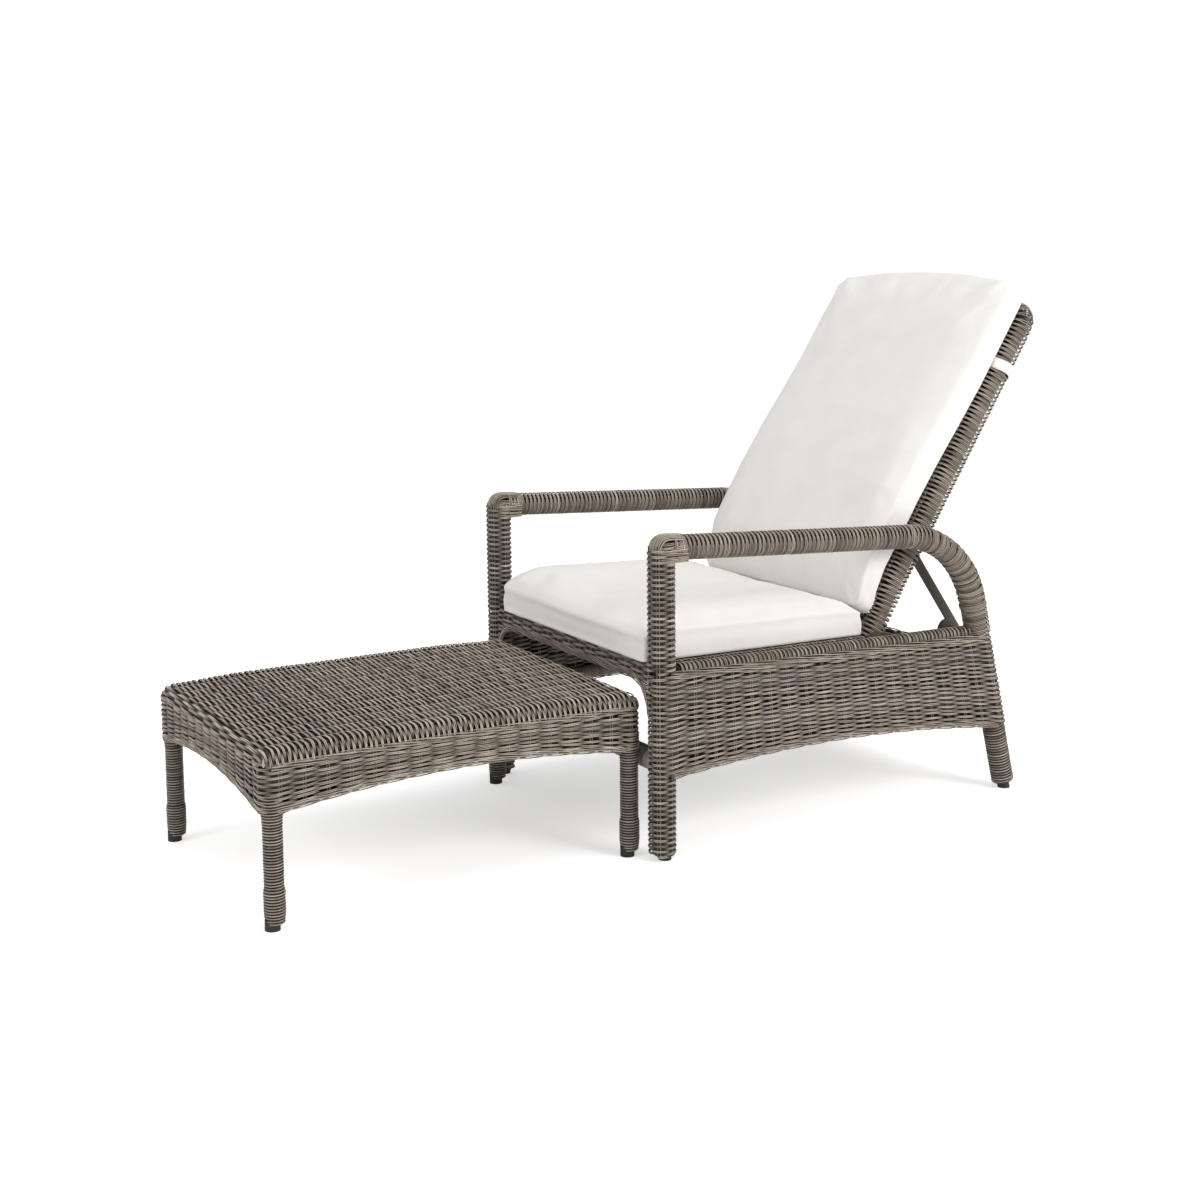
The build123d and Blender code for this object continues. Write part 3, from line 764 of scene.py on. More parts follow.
def corner_knots():
    """Strands round and over the top of each post, where the arm begins."""
    strands = Strands()
    knot_r = pole_r + 0.0008
    knot_low = arm_z - 0.0235
    knot_pitch = 0.0066
    tail = 0.040
    for k in range(6):
        level = knot_low + knot_pitch * k
        size = knot_r if k < 4 else knot_r - 0.0022 * (k - 3)
        turn = np.linspace(pi, tau, 15)
        ring = along(0, level, post_x) + size * circle(turn)
        back = np.linspace(tail, 0.004, 6)[:, None] * (0, 1, 0)
        path = np.concatenate([ring[0] + back, ring, ring[-1] + back[::-1]])
        out = unit((path - along(0, level, post_x)) * (1, 0.4, 0))
        for sign in (-1, 1):
            shifted = path + (0, 0, sign * 0.0013) + np.array([0, 0, 1]) * drift(
                len(path), 0.0008, 4)[:, None]
            strands.add(shifted, out, 0.00145)
    for x in np.linspace(-0.0195, 0.0195, 13):
        reach = sqrt(max(0.0, (pole_r + 0.0022) ** 2 - x * x))
        turn = np.linspace(radians(200), radians(90), 14)
        path = along(reach * np.cos(turn), arm_z - 0.0004 + reach * np.sin(turn), post_x + x)
        rest = path[-1] + grid(0, np.linspace(0.006, tail - 0.006, 5), np.linspace(0, -0.0022, 5))
        path = np.concatenate([path, rest])
        path[:, 0] += drift(len(path), 0.0007, 4)
        strands.add(path, unit(path - along(0, arm_z - 0.004, post_x)), 0.0015)
    wind(strands, side_pole, pole_r + 0.0005, tail - 0.010, tail + 0.001, 0.0034,
         thick=0.0016, tilt=0.0012)
    wind(strands, side_pole, pole_r + 0.0012, 0.007, 0.016, 0.0033, thick=0.0014, tilt=-0.006,
         top=up_side)
    pair_of(strands, "corner_knot", "chair", strand)


wrap_r = pole_r - 0.0018
wrap_pitch = 0.0034
spine_sink = 0.0034
close_pitch = 0.0031
wrap_style = {"thick": 0.00141, "group": 3, "top": up_side, "dip": 0.0060, "lift": 0.0014,
              "pinch": 0.0005}


def arm_spines(strands, radius, start, end):
    for degrees in (-62, -36, 0, 36, 62):
        spine(strands, side_pole, radius, up_side + radians(degrees), start, end, thick=0.0013)


def arms():
    strands = Strands()
    wind(strands, side_pole, wrap_r, pole_r - 0.003, arm_end, wrap_pitch, reach=(0.15, 0.60),
         **wrap_style)
    arm_spines(strands, wrap_r - spine_sink, pole_r, arm_end)
    shade_sleeve(strands, side_pole, core_r, pole_r * 0.5, arm_end)
    pair_of(strands, "arm_weave", "chair", strand, "arm_wrap")


def rear_legs():
    strands = Strands()
    panel_in = side_pole.length - (panel_top_rear - 0.001 - foot_z) / cos(leg_rake)
    panel_out = side_pole.length - (panel_low_rear + 0.001 - foot_z) / cos(leg_rake)
    swell_start = arm_end + 0.06

    def size(s):
        return wrap_r + 0.0030 * smooth((s - swell_start) / 0.16) * (s < panel_in)

    wind(strands, side_pole, size, arm_end, panel_in, wrap_pitch, reach=(0.25, 0.70),
         **wrap_style)
    arm_spines(strands, lambda s: size(s) - spine_sink, arm_end, panel_in)
    wind(strands, side_pole, wrap_r, panel_out, side_pole.length, close_pitch, thick=0.00150,
         flat=0.92, group=2, dip=0.0006, reach=(-2.0, -1.5))
    for s in np.arange(arm_end + 0.055, bend_end + 0.01, 0.0172):
        wind(strands, side_pole, lambda t: size(t) + 0.0020, s, s + 0.0092, close_pitch,
             thick=0.0015, top=up_side + pi, tilt=0.001, tone=0.5)
    round_stakes(strands, side_pole, panel_round_r, 0, 0.11, panel_in, panel_out)
    shade_sleeve(strands, side_pole, core_r, arm_end, side_pole.length, steps=60)
    pair_of(strands, "rear_leg_weave", "chair", strand, "rear_leg_wrap")


def seat_rails():
    """The ends of the deck's rows, wound over each seat rail in pairs with gaps between."""
    strands = Strands()
    end = leg_y(rail_z)
    rail = Pole([along(0, rail_height(0), rail_x), along(end, rail_height(end), rail_x)])
    low, high = pole_r - 0.002, rail.length - pole_r + 0.002
    pitch = 0.0103
    turns = (high - low) / pitch
    count = int(turns * 24)
    phase = np.linspace(0, turns * tau, count)
    lean = 0.0042 * np.cos(phase + pi / 2)
    for level, shift in ((rail_r - 0.0012, 0.0), (rail_r - 0.0038, pitch / 2)):
        for sign in (-1, 1):
            s = low + phase / tau * pitch + lean + shift + sign * 0.0013
            s = s + drift(count, 0.0006, 9)
            points, out = rail.ring(np.clip(s, low, high), phase, level)
            # Painted shade: the lower-lying strands are painted darker
            strands.add(points, out, turned_r, tones_of(phase, turns),
                        depth=1.0 - 0.7 * (shift > 0))
    shade_sleeve(strands, rail, rail_r - 0.0056, low, high)
    pair_of(strands, "seat_rail_weave", "chair", strand, "seat_rail_wrap")


def plain_wrap(strands, start, end, radius, across=(1, 0, 0), **more):
    """A closely wound straight rail."""
    pole = Pole([start, end], across)
    wind(strands, pole, radius - 0.0015, 0, pole.length, close_pitch, thick=0.00155, **more)
    shade_sleeve(strands, pole, radius - 0.0036, steps=4)


def rails():
    strands = Strands()
    low_z, low_x = 0.205, 0.337
    plain_wrap(strands, along(pole_r - 0.001, low_z, low_x),
               along(leg_y(low_z) - pole_r, low_z, low_x), 0.013, turn_steps=12)
    pair_of(strands, "lower_rail_weave", "chair", strand, "lower_rail_wrap")
    inner = post_x - pole_r + 0.003
    plain = [
        ("front_stretcher_weave", "front_stretcher_wrap", 0, 0.190, 0.022),
        ("rear_rail_weave", "rear_rail_wrap", leg_y(0.275), 0.275, 0.017),
        ("rear_stretcher_weave", "rear_stretcher_wrap", leg_y(0.190), 0.190, 0.017),
        ("front_rail_weave", "front_rail_wrap", 0, rail_z, 0.0155),
    ]
    for name, node, y, z, radius in plain:
        strands = Strands()
        plain_wrap(strands, along(y, z, -inner), along(y, z, inner), radius, across=(0, 0, 1),
                   turn_steps=14)
        strands.piece(name, "chair", strand, node)


side_panels()
front_posts()
corner_knots()
arms()
rear_legs()
seat_rails()
rails()

# Front apron: rows over the front rail and down to a plaited lower edge
apron_low = 0.350
bracket_low = 0.285
bracket_x = 0.311
bracket_start = 0.248
roll_r = 0.0195


def front_apron():
    strands = Strands()
    half = post_x - pole_r + 0.004
    x = np.linspace(-half, half, int(2 * half / step))
    first_turn = radians(55)
    profile = []
    for k in range(10):
        run = 0.002 + k * row_pitch
        if run < roll_r * (pi - first_turn):
            turn = first_turn + run / roll_r
            profile.append((roll_r * cos(turn), rail_z + roll_r * sin(turn), cos(turn),
                            sin(turn)))
        else:
            drop = run - roll_r * (pi - first_turn)
            profile.append((-roll_r - 0.0005, rail_z - drop, -1.0, 0.0))
    for k, (y, z, out_y, out_z) in enumerate(profile):
        path = along(y, z, x)
        weave_row(strands, path, np.array([0.0, out_y, out_z]),
                  np.array([0.0, -out_z, out_y]), pi * x / stake_pitch + pi * k, amp=0.0022)
    for place in np.arange(-6, 7) * stake_pitch:
        turn = np.linspace(first_turn, pi, 8)
        path = [along(roll_r * cos(t), rail_z + roll_r * sin(t), place) for t in turn]
        path.append(along(-roll_r - 0.0005, apron_low, place))
        stake(strands, path, unit(np.array(path) - along(0.01, rail_z, place)), (1, 0, 0))
    spread = bracket_x - bracket_start
    drop = apron_low - bracket_low
    turn = np.linspace(0, pi / 2, 10)
    right = along(-roll_r - 0.001, bracket_low + drop * np.sin(turn),
                  bracket_x - spread * (1 - np.cos(turn)))
    edge = dense(np.concatenate([right, right[::-1] * (-1, 1, 1)]), 0.007)
    ropes(strands, edge, (0, -1, 0), 0.16, 0.003, ((0.0, 0.0), (0.0045, 1.8), (0.009, 3.6)))
    for k, z in enumerate(np.arange(bracket_low + 0.008, apron_low + 0.006, row_pitch)):
        share = min(1.0, (z - bracket_low) / drop)
        edge_x = bracket_x - spread * (1 - sqrt(max(0.0, 1 - share * share)))
        for side in (-1, 1):
            x = np.linspace(edge_x, half, max(4, int((half - edge_x) / step)))
            weave_row(strands, along(-roll_r, z, side * x), np.array([0.0, -1, 0]),
                      np.array([0.0, 0, 1]), pi * x / stake_pitch + pi * k, amp=0.0016)
    # Painted shade: a dark core inside the roll stands in for the shadow behind its rows
    roll_shade_core = np.array([along(0, rail_z + 0.004, -half), along(0, rail_z + 0.004, half)])
    strands.add(roll_shade_core, (0, 0, 1), roll_r - 0.0006, tone=0.0, sides=18)
    lower = along(-roll_r + 0.0006, (rail_z + apron_low) / 2) - (0, 0, 0.002)
    shade(strands, [lower - (half, 0, 0), lower + (half, 0, 0)], (0, -1, 0),
          (rail_z - apron_low) / 2)
    strands.piece("front_apron_weave", "chair", strand, "front_apron")


def flat_weave(strands, origin, across, up, half, length, pitch):
    """A flat rectangle of rows across, over stakes that run up it."""
    origin, across, up = (np.asarray(v, float) for v in (origin, across, up))
    out = np.cross(across, up)
    x = np.linspace(-half, half, int(2 * half / step))
    for k in range(int(length / pitch)):
        path = origin + across * x[:, None] + up * ((k + 0.5) * pitch)
        weave_row(strands, path, out, up, pi * (x / stake_pitch + k))
    shade(strands, [origin + up * 0.003, origin + up * (length - 0.003)], out, half - 0.002)
    count = int(half / stake_pitch)
    for j in range(-count, count + 1):
        path = origin + across * j * stake_pitch + up * np.linspace(0, length, 8)[:, None]
        stake(strands, path, out, across)


def seat_deck():
    strands = Strands()
    deck_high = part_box("seat_deck")[1]
    slope = np.array([0, cos(rail_slope), -sin(rail_slope)])
    start = along(0.017, rail_z + 0.017 - 0.004)
    flat_weave(strands, start, (1, 0, 0), slope, deck_high.x - 0.002, 0.496, deck_pitch)
    strands.piece("seat_deck_weave", "chair", strand, "seat_deck")


def rear_panel():
    strands = Strands()
    up = np.array([0, -sin(leg_rake), cos(leg_rake)])
    out = np.array([0, cos(leg_rake), sin(leg_rake)])
    start = along(foot_y, 0) + out * 0.021
    base = 0.172 / cos(leg_rake)
    half = post_x - 0.012
    flat_weave(strands, start + up * base, (-1, 0, 0), up, half, 0.122, row_pitch)
    x = np.linspace(-half, half, 110)
    for lift, bow in ((0.1235, 0.0), (0.1185, 0.0), (-0.002, 0.006), (0.002, 0.006)):
        line = start + up * (base + lift) + np.outer(x, (1, 0, 0))
        line = line - up * (bow * (x / half) ** 2)[:, None]
        rope(strands, line, out, 0.17, 0.003, phase=lift * 500)
    strands.piece("rear_panel_weave", "chair", strand, "rear_panel")


front_apron()
seat_deck()
rear_panel()

# Backrest
back_up = np.array([0, sin(back_tilt), cos(back_tilt)])
back_out = np.array([0, -cos(back_tilt), sin(back_tilt)])
# stile_line gives, up the stile, how far its weave sits out of the tube's line
stile_weave_r = 0.0240
stile_foot_draw = 0.0035
# back_core_r is the radius of the dark sleeves of painted shade under the backrest's wraps
back_core_r = stile_weave_r - 0.0088
back_spine_r = stile_weave_r - 0.0062
stile_line = [(0.06, 0.0), (0.13, 0.0090), (0.45, 0.0088), (0.76, 0.0078)]
back_wrap = {"pitch": 0.00343, "turn_steps": 24, "thick": 0.00144, "group": 3, "dip": 0.0070,
             "lift": 0.0024, "both": True, "reach": (0.40, 0.85), "swell": 0.0020,
             "pinch": 0.0007}
stile_end = back_length - 0.042


def on_back(x, up, out=0.0):
    """A point on the backrest: across, up along the stiles and out of its front."""
    return along(hinge_y, hinge_z, x) + back_up * up + back_out * out


def stiles():
    strands = Strands()
    ups = np.append(np.arange(-0.018, stile_end, 0.012), stile_end)
    pole = Pole([on_back(stile_x, up, np.interp(up, *zip(*stile_line))) for up in ups])
    wind(strands, pole, lambda s: stile_weave_r - stile_foot_draw * smooth((0.13 - s) / 0.05),
         0.0015, pole.length, top=radians(78), tilt=0.0015, **back_wrap)
    for degrees in (78, -102):
        spine(strands, pole, back_spine_r, radians(degrees), 0.002, pole.length)
    shade_sleeve(strands, pole, back_core_r, steps=40)
    pair_of(strands, "stile_weave", "backrest", strand, "stile_wrap")


def top_rail():
    strands = Strands()
    corners = [(stile_x, stile_end), (stile_x, back_length), (-stile_x, back_length),
               (-stile_x, stile_end)]
    line = bent([on_back(x, up, stile_line[-1][1]) for x, up in corners], [0.03, 0.03], steps=8)
    pole = Pole(dense(line, 0.006), back_out)
    wind(strands, pole, stile_weave_r, 0.0, pole.length, **back_wrap)
    shade_sleeve(strands, pole, back_core_r, steps=60)
    strands.piece("top_rail_weave", "backrest", strand, "top_rail_wrap")


def back_panel():
    strands = Strands()
    flat_weave(strands, on_back(0, 0.032, 0.016), (1, 0, 0), back_up, 0.2570, 0.742, deck_pitch)
    strands.piece("back_panel_weave", "backrest", strand, "back_panel")


stiles()
top_rail()
back_panel()

# Footstool
edge_r = 0.023
band_low = 0.218
band_middle = 0.246
top_z = stool_high.z - weave_amp
rim_z = top_z - edge_r
end_sag = 0.0055
stool_inset = 0.0042


def edge_profile(half, size, edge_size):
    """Steps over a top with rounded edges: run, place on the flat and lean at the edges."""
    arc = edge_r * pi / 2
    flat_run = 2 * (half - edge_r)
    ends = np.linspace(0, arc, max(2, int(arc / edge_size) + 1))
    middle = np.linspace(0, flat_run, max(2, int(flat_run / size) + 1))[1:-1] + arc
    run = np.concatenate([ends, middle, ends + arc + flat_run])
    flat = np.clip(run - arc, 0, flat_run) - flat_run / 2
    lean = np.clip((run - arc - flat_run) / edge_r, 0, pi / 2) - np.clip(
        (arc - run) / edge_r, 0, pi / 2)
    return run, flat, lean


def top_sag(y):
    """How far the top falls towards its two short ends."""
    return end_sag * smooth((np.abs(y) - 0.20) / 0.18)


def stool_top():
    strands = Strands()
    hx, hy = stool_half_x - stool_inset, stool_half_y - stool_inset
    _, row_flat, row_lean = edge_profile(hy, deck_pitch, deck_pitch)
    run, flat, lean = edge_profile(hx, 0.0092, 0.0046)
    phase = pi * (run - run[-1] / 2) / stake_pitch
    for k, (centre, tip) in enumerate(zip(row_flat, row_lean)):
        reach = edge_r * cos(tip)
        path = grid(flat + reach * np.sin(lean), stool_y + centre + edge_r * sin(tip),
                    rim_z - top_sag(centre) + reach * np.cos(lean))
        out = unit(grid(np.sin(lean) * cos(tip), sin(tip), np.cos(lean) * cos(tip)))
        rise = np.array([0.0, cos(tip), -sin(tip)])
        # Painted highlight and painted shade: crests on the top are painted brighter than fully
        # lit, and troughs darker, less so over the rounded rim
        weave_row(strands, path, out, rise, phase + pi * k, low=0.4 * smooth(abs(tip) / 0.4),
                  high=1.35)
    for j in range(-7, 8):
        spot = j * stake_pitch + run[-1] / 2
        if not 0 < spot < run[-1]:
            continue
        place, bend = np.interp(spot, run, flat), np.interp(spot, run, lean)
        reach = edge_r * cos(bend)
        path = grid(place + edge_r * sin(bend), stool_y + row_flat + reach * np.sin(row_lean),
                    rim_z - top_sag(row_flat) + reach * np.cos(row_lean))[::3]
        way = unit(np.array([sin(bend), 0, cos(bend)]))
        # Painted shade: the top's stakes are painted almost black, as they lie under the rows
        stake(strands, path - way * 0.0026, way, (cos(bend), 0, -sin(bend)), depth=0.05)
    rim = edge_r * 1.05
    y = np.linspace(rim - hy, hy - rim, 40)
    middle = grid(0, stool_y + y, top_z - 0.0012 - top_sag(y))
    shade(strands, middle, (0, 0, 1), hx - rim)
    strands.piece("stool_top_weave", "footstool", strand, "stool_top")


def stool_loop(z_of, grow=0.0):
    """A closed line round the footstool, with rounded corners and how near a corner it is."""
    inset = stool_inset - grow
    hx, hy, r = stool_half_x - inset, stool_half_y - inset, edge_r
    path, out, near = [], [], []
    corners = [(hx - r, -hy + r, -pi / 2), (hx - r, hy - r, 0),
               (-hx + r, hy - r, pi / 2), (-hx + r, -hy + r, pi)]
    spans = [2 * (hy - r), 2 * (hx - r), 2 * (hy - r), 2 * (hx - r)]
    for (cx, cy, start), span in zip(corners, spans):
        turn = start + np.linspace(0, pi / 2, 7)
        path += [(cx + r * cos(t), cy + r * sin(t)) for t in turn]
        out += [(cos(t), sin(t)) for t in turn]
        near += [1.0] * 7
        count = int(span / step)
        share = np.linspace(0, 1, count + 2)[1:-1]
        ahead = np.array([-sin(turn[-1]), cos(turn[-1])])
        base = np.array(path[-1])
        path += list(base + ahead * (share * span)[:, None])
        out += [out[-1]] * count
        near += list(np.abs(2 * share - 1))
    path, out = np.array(path), np.array(out)
    points = grid(path[:, 0], stool_y + path[:, 1], z_of(np.array(near)))
    return points, grid(*out.T, 0)


def band_edge(near):
    """The lower edge of the bands, arched between the legs."""
    return band_low + (band_middle - band_low) * (1 - near ** 2)


def stool_bands():
    strands = Strands()
    rows = 17
    rise = np.array([0.0, 0, 1])
    for k in range(rows):
        part = (k + 1) / (rows + 0.3)
        path, out = stool_loop(lambda near: band_edge(near) * (1 - part) + rim_z * part)
        gaps = np.linalg.norm(np.roll(path, -1, 0)[:, :2] - path[:, :2], axis=1)
        run = np.concatenate([[0], np.cumsum(gaps)[:-1]])
        stakes = 2 * round(gaps.sum() / stake_pitch / 2)
        phase = pi * stakes * run / gaps.sum()
        weave_row(strands, path, out, rise, phase + pi * k, closed=True)
    for j in range(stakes):
        spot, way = (np.array([np.interp(j * pi, phase, values[:, c]) for c in range(3)])
                     for values in (path, out))
        low_z = np.interp(j * pi, phase, stool_loop(band_edge)[0][:, 2])
        line = grid(spot[0], spot[1], np.linspace(low_z, rim_z, 4))
        way = unit(way)
        stake(strands, line, way, (-way[1], way[0], 0))
    path, out = stool_loop(lambda near: (band_edge(near) + rim_z) / 2, grow=-0.0006)
    shade(strands, path, out, rim_z - path[:, 2] + 0.0005, closed=True)
    # Painted shade: dark sheets under the rounded rim stand in for the shadow in its gaps
    round_r = edge_r - 0.0008
    rim_sink = 0.0024
    for turn in (25, 53, 81):
        lift, spread = round_r * sin(radians(turn)), round_r * (1 - cos(radians(turn)))
        path, out = stool_loop(lambda near: rim_z + lift + 0 * near, grow=-spread - rim_sink)
        path[:, 2] -= top_sag(path[:, 1] - stool_y)
        lean = cos(radians(turn)) * out + (0, 0, sin(radians(turn)))
        shade(strands, path, lean, 0.0063, closed=True)
    for side in (-1, 1):
        y = np.linspace(-stool_half_y + 0.02, stool_half_y - 0.02, 130)
        line = grid(side * (stool_half_x - stool_inset + 0.0022), stool_y + y,
                    rim_z - top_sag(y))
        ropes(strands, line, (side, 0, 0), 0.19, 0.0028, ((0.0005, 0.0), (-0.0045, 2.0)))
    path, out = stool_loop(band_edge)
    ropes(strands, path, out, 0.17, 0.0028, ((-0.0035, 0.0), (0.0, 2.0), (0.0038, 4.0)),
          closed=True)
    strands.piece("stool_band_weave", "footstool", strand, "stool_side_bands",
                  "stool_end_bands")


def stool_legs():
    strands = Strands()

    def size(s):
        z = wrap_low + s
        return np.interp(z, [0.011, 0.032, 0.070, 0.078, 0.190, 0.222, 0.31],
                         [0.0165, 0.0187, 0.0189, 0.0170, 0.0170, 0.0195, 0.0195])

    for x in (-1, 1):
        for y in (-1, 1):
            spot = np.array([x * (stool_half_x - stool_leg_r),
                             stool_y + y * (stool_half_y - stool_leg_r - stool_grow), 0])
            pole = Pole([spot + (0, 0, wrap_low), spot + (0, 0, band_low + 0.03)])
            wind(strands, pole, size, 0.0015, pole.length, 0.0027, turn_steps=16,
                 thick=turned_r, group=2, dip=0.0009, lift=0.0003, reach=(-2.0, -1.5))
            shade_sleeve(strands, pole, lambda s: size(s) - 0.0020, steps=40)
    strands.piece("stool_leg_weave", "footstool", strand, "stool_leg_wraps")


stool_top()
stool_bands()
stool_legs()


# Cushions: boxed covers of canvas, blown up by a cloth simulation. The plans give thickness
# along the cushion, seat_swell how much fuller the seat's far edge is, cushion_out how far the
# back cushion's underside lies in front of the tubes, all in pairs with the place along it
cushion_inset = 0.003
cushion_cap = 0.009
wall_rows = 5
base_share = 0.985
seam_crease = 0.5
cell_size = 0.0095
seat_half = 0.303
back_half = 0.304
seat_plan = [(-0.029, 0.052), (-0.008, 0.060), (0.06, 0.063), (0.25, 0.062), (0.44, 0.060),
             (0.51, 0.0570), (0.523, 0.052), (0.528, 0.047)]
back_plan = [(0.036, 0.044), (0.055, 0.048), (0.17, 0.053), (0.43, 0.055), (0.70, 0.055),
             (0.806, 0.053), (0.864, 0.050)]
seat_swell = [(-0.027, 0.003), (0.0, 0.014), (0.043, 0.021), (0.187, 0.018), (0.35, 0.015),
              (0.44, 0.005), (0.50, 0.0)]
cushion_out = [(0.045, 0.0261), (0.06, 0.030), (0.10, 0.043), (0.15, 0.053), (0.30, 0.056),
               (0.40, 0.053), (0.50, 0.047), (0.60, 0.042), (0.87, 0.041)]
cushion_rest = 0.0395
blow_steps = 20
foot_draw = 0.030
deck_lift = 0.0173


def rounded(u, v, half_a, half_b, corner):
    """Puts a square grid of -1 to 1 on a rectangle with round corners."""
    ring = np.maximum(np.abs(u), np.abs(v))
    size = corner * ring + 1e-9
    a, b = np.abs(u) * half_a, np.abs(v) * half_b
    mid_a, mid_b = ring * half_a - size, ring * half_b - size
    over_a, over_b = (a - mid_a) / size, (b - mid_b) / size
    turn = np.where(over_a >= over_b, over_b, 2 - over_a) * pi / 4
    corner_zone = (over_a > 0) & (over_b > 0)
    a = np.where(corner_zone, mid_a + size * np.cos(turn), a)
    b = np.where(corner_zone, mid_b + size * np.sin(turn), b)
    return a * np.sign(u), b * np.sign(v)


def cushion_form(half, plan, crown, corner, arch, extra, belly):
    """A boxed form on a flat ground: points, faces, the two seams and the underside's start."""
    low, high = plan[0][0], plan[-1][0]
    across, rows = 64, int((high - low) / cell_size)
    u, v = np.meshgrid(np.linspace(-1, 1, across + 1), np.linspace(-1, 1, rows + 1))
    a, b = rounded(u, v, half - cushion_inset, (high - low) / 2 - cushion_inset, corner)
    b = b + (low + high) / 2
    if arch:
        b = b - arch(a) * smooth((b - low) / (high - low)) ** 2
    thick = np.interp(b, *zip(*plan)) - cushion_inset
    if extra:
        thick = thick + extra(a, b)
    edge = 1 - np.maximum(np.abs(u), np.abs(v))
    puff = (1 - np.abs(u) ** 5) * (1 - np.abs(v) ** 5)
    top = thick + crown * puff ** 0.6 - 0.003 * np.exp(-edge * 25)
    k = np.arange(across + 1)
    j = np.arange(rows + 1)
    rim = np.concatenate([
        k[:-1], j[:-1] * (across + 1) + across, rows * (across + 1) + k[:0:-1],
        j[:0:-1] * (across + 1),
    ])
    flat_a, flat_b, flat_top = a.ravel(), b.ravel(), top.ravel()
    share = np.linspace(0, 1, wall_rows + 1)[1:-1]
    middle_b = (low + high) / 2
    draw = 1 - 0.004 * (1 - 4 * share * (1 - share)) / 0.15
    walls = [grid(flat_a[rim] * t, middle_b + (flat_b[rim] - middle_b) * t,
                  flat_top[rim] * (1 - part)) for part, t in zip(share, draw)]
    base = grid(flat_a * base_share, middle_b + (flat_b - middle_b) * base_share,
                -belly(flat_a, flat_b) if belly else 0)
    points = np.concatenate([grid(flat_a, flat_b, flat_top), *walls, base])
    count = flat_a.size
    lower = count + (wall_rows - 1) * len(rim)
    rings = [rim] + [count + r * len(rim) + np.arange(len(rim)) for r in range(wall_rows - 1)]
    rings.append(lower + rim)
    cell = (np.arange(rows)[:, None] * (across + 1) + np.arange(across)).ravel()
    top_quads = np.stack([cell, cell + 1, cell + across + 2, cell + across + 1], 1)
    quads = [top_quads, lower + top_quads[:, ::-1]]
    for near, far in zip(rings[:-1], rings[1:]):
        quads.append(np.stack([near, far, np.roll(far, -1), np.roll(near, -1)], 1))
    return points, np.concatenate(quads), (rings[0], rings[-1]), lower


def cushion(name, node, place, half, plan, crown, corner, arch=None, extra=None, belly=None,
            bend=None):
    """A boxed cushion. place turns across, along and height into a point of the scene.

    plan gives its thickness along it, crown how much fuller it is in the middle, arch how
    much shorter it is at the sides, extra how much fuller it is at a place, belly how far its
    underside bulges, and bend, when given, leaves it riding no body, its place baked into its
    mesh; the places bend holds are not used.
    """
    points, quads, seams, lower = cushion_form(half, plan, crown, corner, arch, extra, belly)
    start = np.array([place(*p) for p in points])
    mesh = bpy.data.meshes.new(name)
    mesh.from_pydata(start.tolist(), [], quads.tolist())
    made = bpy.data.objects.new(name, mesh)
    bpy.context.scene.collection.objects.link(made)
    blow_up(made, [int(i) for i in range(lower, len(points))])
    moved = np.zeros(len(points) * 3)
    made.data.vertices.foreach_get("co", moved)
    moved = moved.reshape(-1, 3) - start
    far = np.linalg.norm(moved, axis=1, keepdims=True)
    moved *= cushion_cap * np.tanh(far / cushion_cap) / np.maximum(far, 1e-9)
    moved[lower:] = 0
    made.data.vertices.foreach_set("co", (start + moved).ravel())
    seam = {tuple(sorted((int(x), int(y)))) for ring in seams
            for x, y in zip(ring, np.roll(ring, -1))}
    crease = made.data.attributes.new("crease_edge", "FLOAT", "EDGE")
    crease.data.foreach_set("value", [
        seam_crease * (tuple(sorted(e.vertices)) in seam) for e in made.data.edges])
    finer = made.modifiers.new("finer", "SUBSURF")
    finer.levels = finer.render_levels = 1
    settle(made)
    made.data.polygons.foreach_set("use_smooth", np.ones(len(made.data.polygons), bool))
    bpy.context.scene.collection.objects.unlink(made)
    bpy.context.scene.collection.objects.link(made)
    made.data.materials.clear()
    made.data.materials.append(canvas)
    if bend:
        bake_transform(made)
    else:
        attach(made, "chair")
    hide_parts(node)


def settle(made):
    """Gives an object the mesh that its modifiers make, and takes them off."""
    graph = bpy.context.evaluated_depsgraph_get()
    done = bpy.data.meshes.new_from_object(made.evaluated_get(graph))
    made.modifiers.clear()
    made.data = done


def blow_up(made, held):
    """Swells a cushion with its underside held, and lets its cover wrinkle."""
    group = made.vertex_groups.new(name="held")
    group.add(held, 1.0, "REPLACE")
    maker = made.modifiers.new("cloth", "CLOTH")
    cloth = maker.settings
    cloth.quality = 6
    cloth.mass = 0.25
    cloth.vertex_group_mass = "held"
    cloth.tension_stiffness = 18
    cloth.compression_stiffness = 18
    cloth.shear_stiffness = 6
    cloth.bending_stiffness = 0.35
    cloth.use_pressure = True
    cloth.uniform_pressure_force = 4
    cloth.shrink_min = -0.012
    cloth.effector_weights.gravity = 0
    maker.collision_settings.use_collision = False
    maker.point_cache.frame_start = 1
    maker.point_cache.frame_end = blow_steps
    for moment in range(1, blow_steps + 1):
        bpy.context.scene.frame_set(moment)
    settle(made)
    bpy.context.scene.frame_set(1)


def on_stiles(a, b):
    """How far the back cushion's underside bulges out to rest on the stiles."""
    room = np.interp(b, *zip(*cushion_out)) - cushion_rest
    return np.clip(room, 0, 1) * smooth((back_half - 0.004 - np.abs(a)) / 0.045)


def far_side(a, b):
    """How much fuller the seat cushion is along its right-hand edge."""
    return np.interp(b, *zip(*seat_swell)) * smooth((0.02 - a) / 0.27)


def top_arch(a):
    """How much lower the back cushion's top is than at its middle."""
    return 0.030 * (np.abs(a) / 0.32) ** 2.2


def on_seat(a, b, h):
    return along(b, rail_height(b) + deck_lift + h, a)


def on_backrest(a, b, h):
    """A place in the back cushion, which is a little narrower at its foot."""
    narrow = 1 - foot_draw * smooth((0.24 - b) / 0.2)
    return on_back(a * narrow, b, np.interp(b, *zip(*cushion_out)) + h)


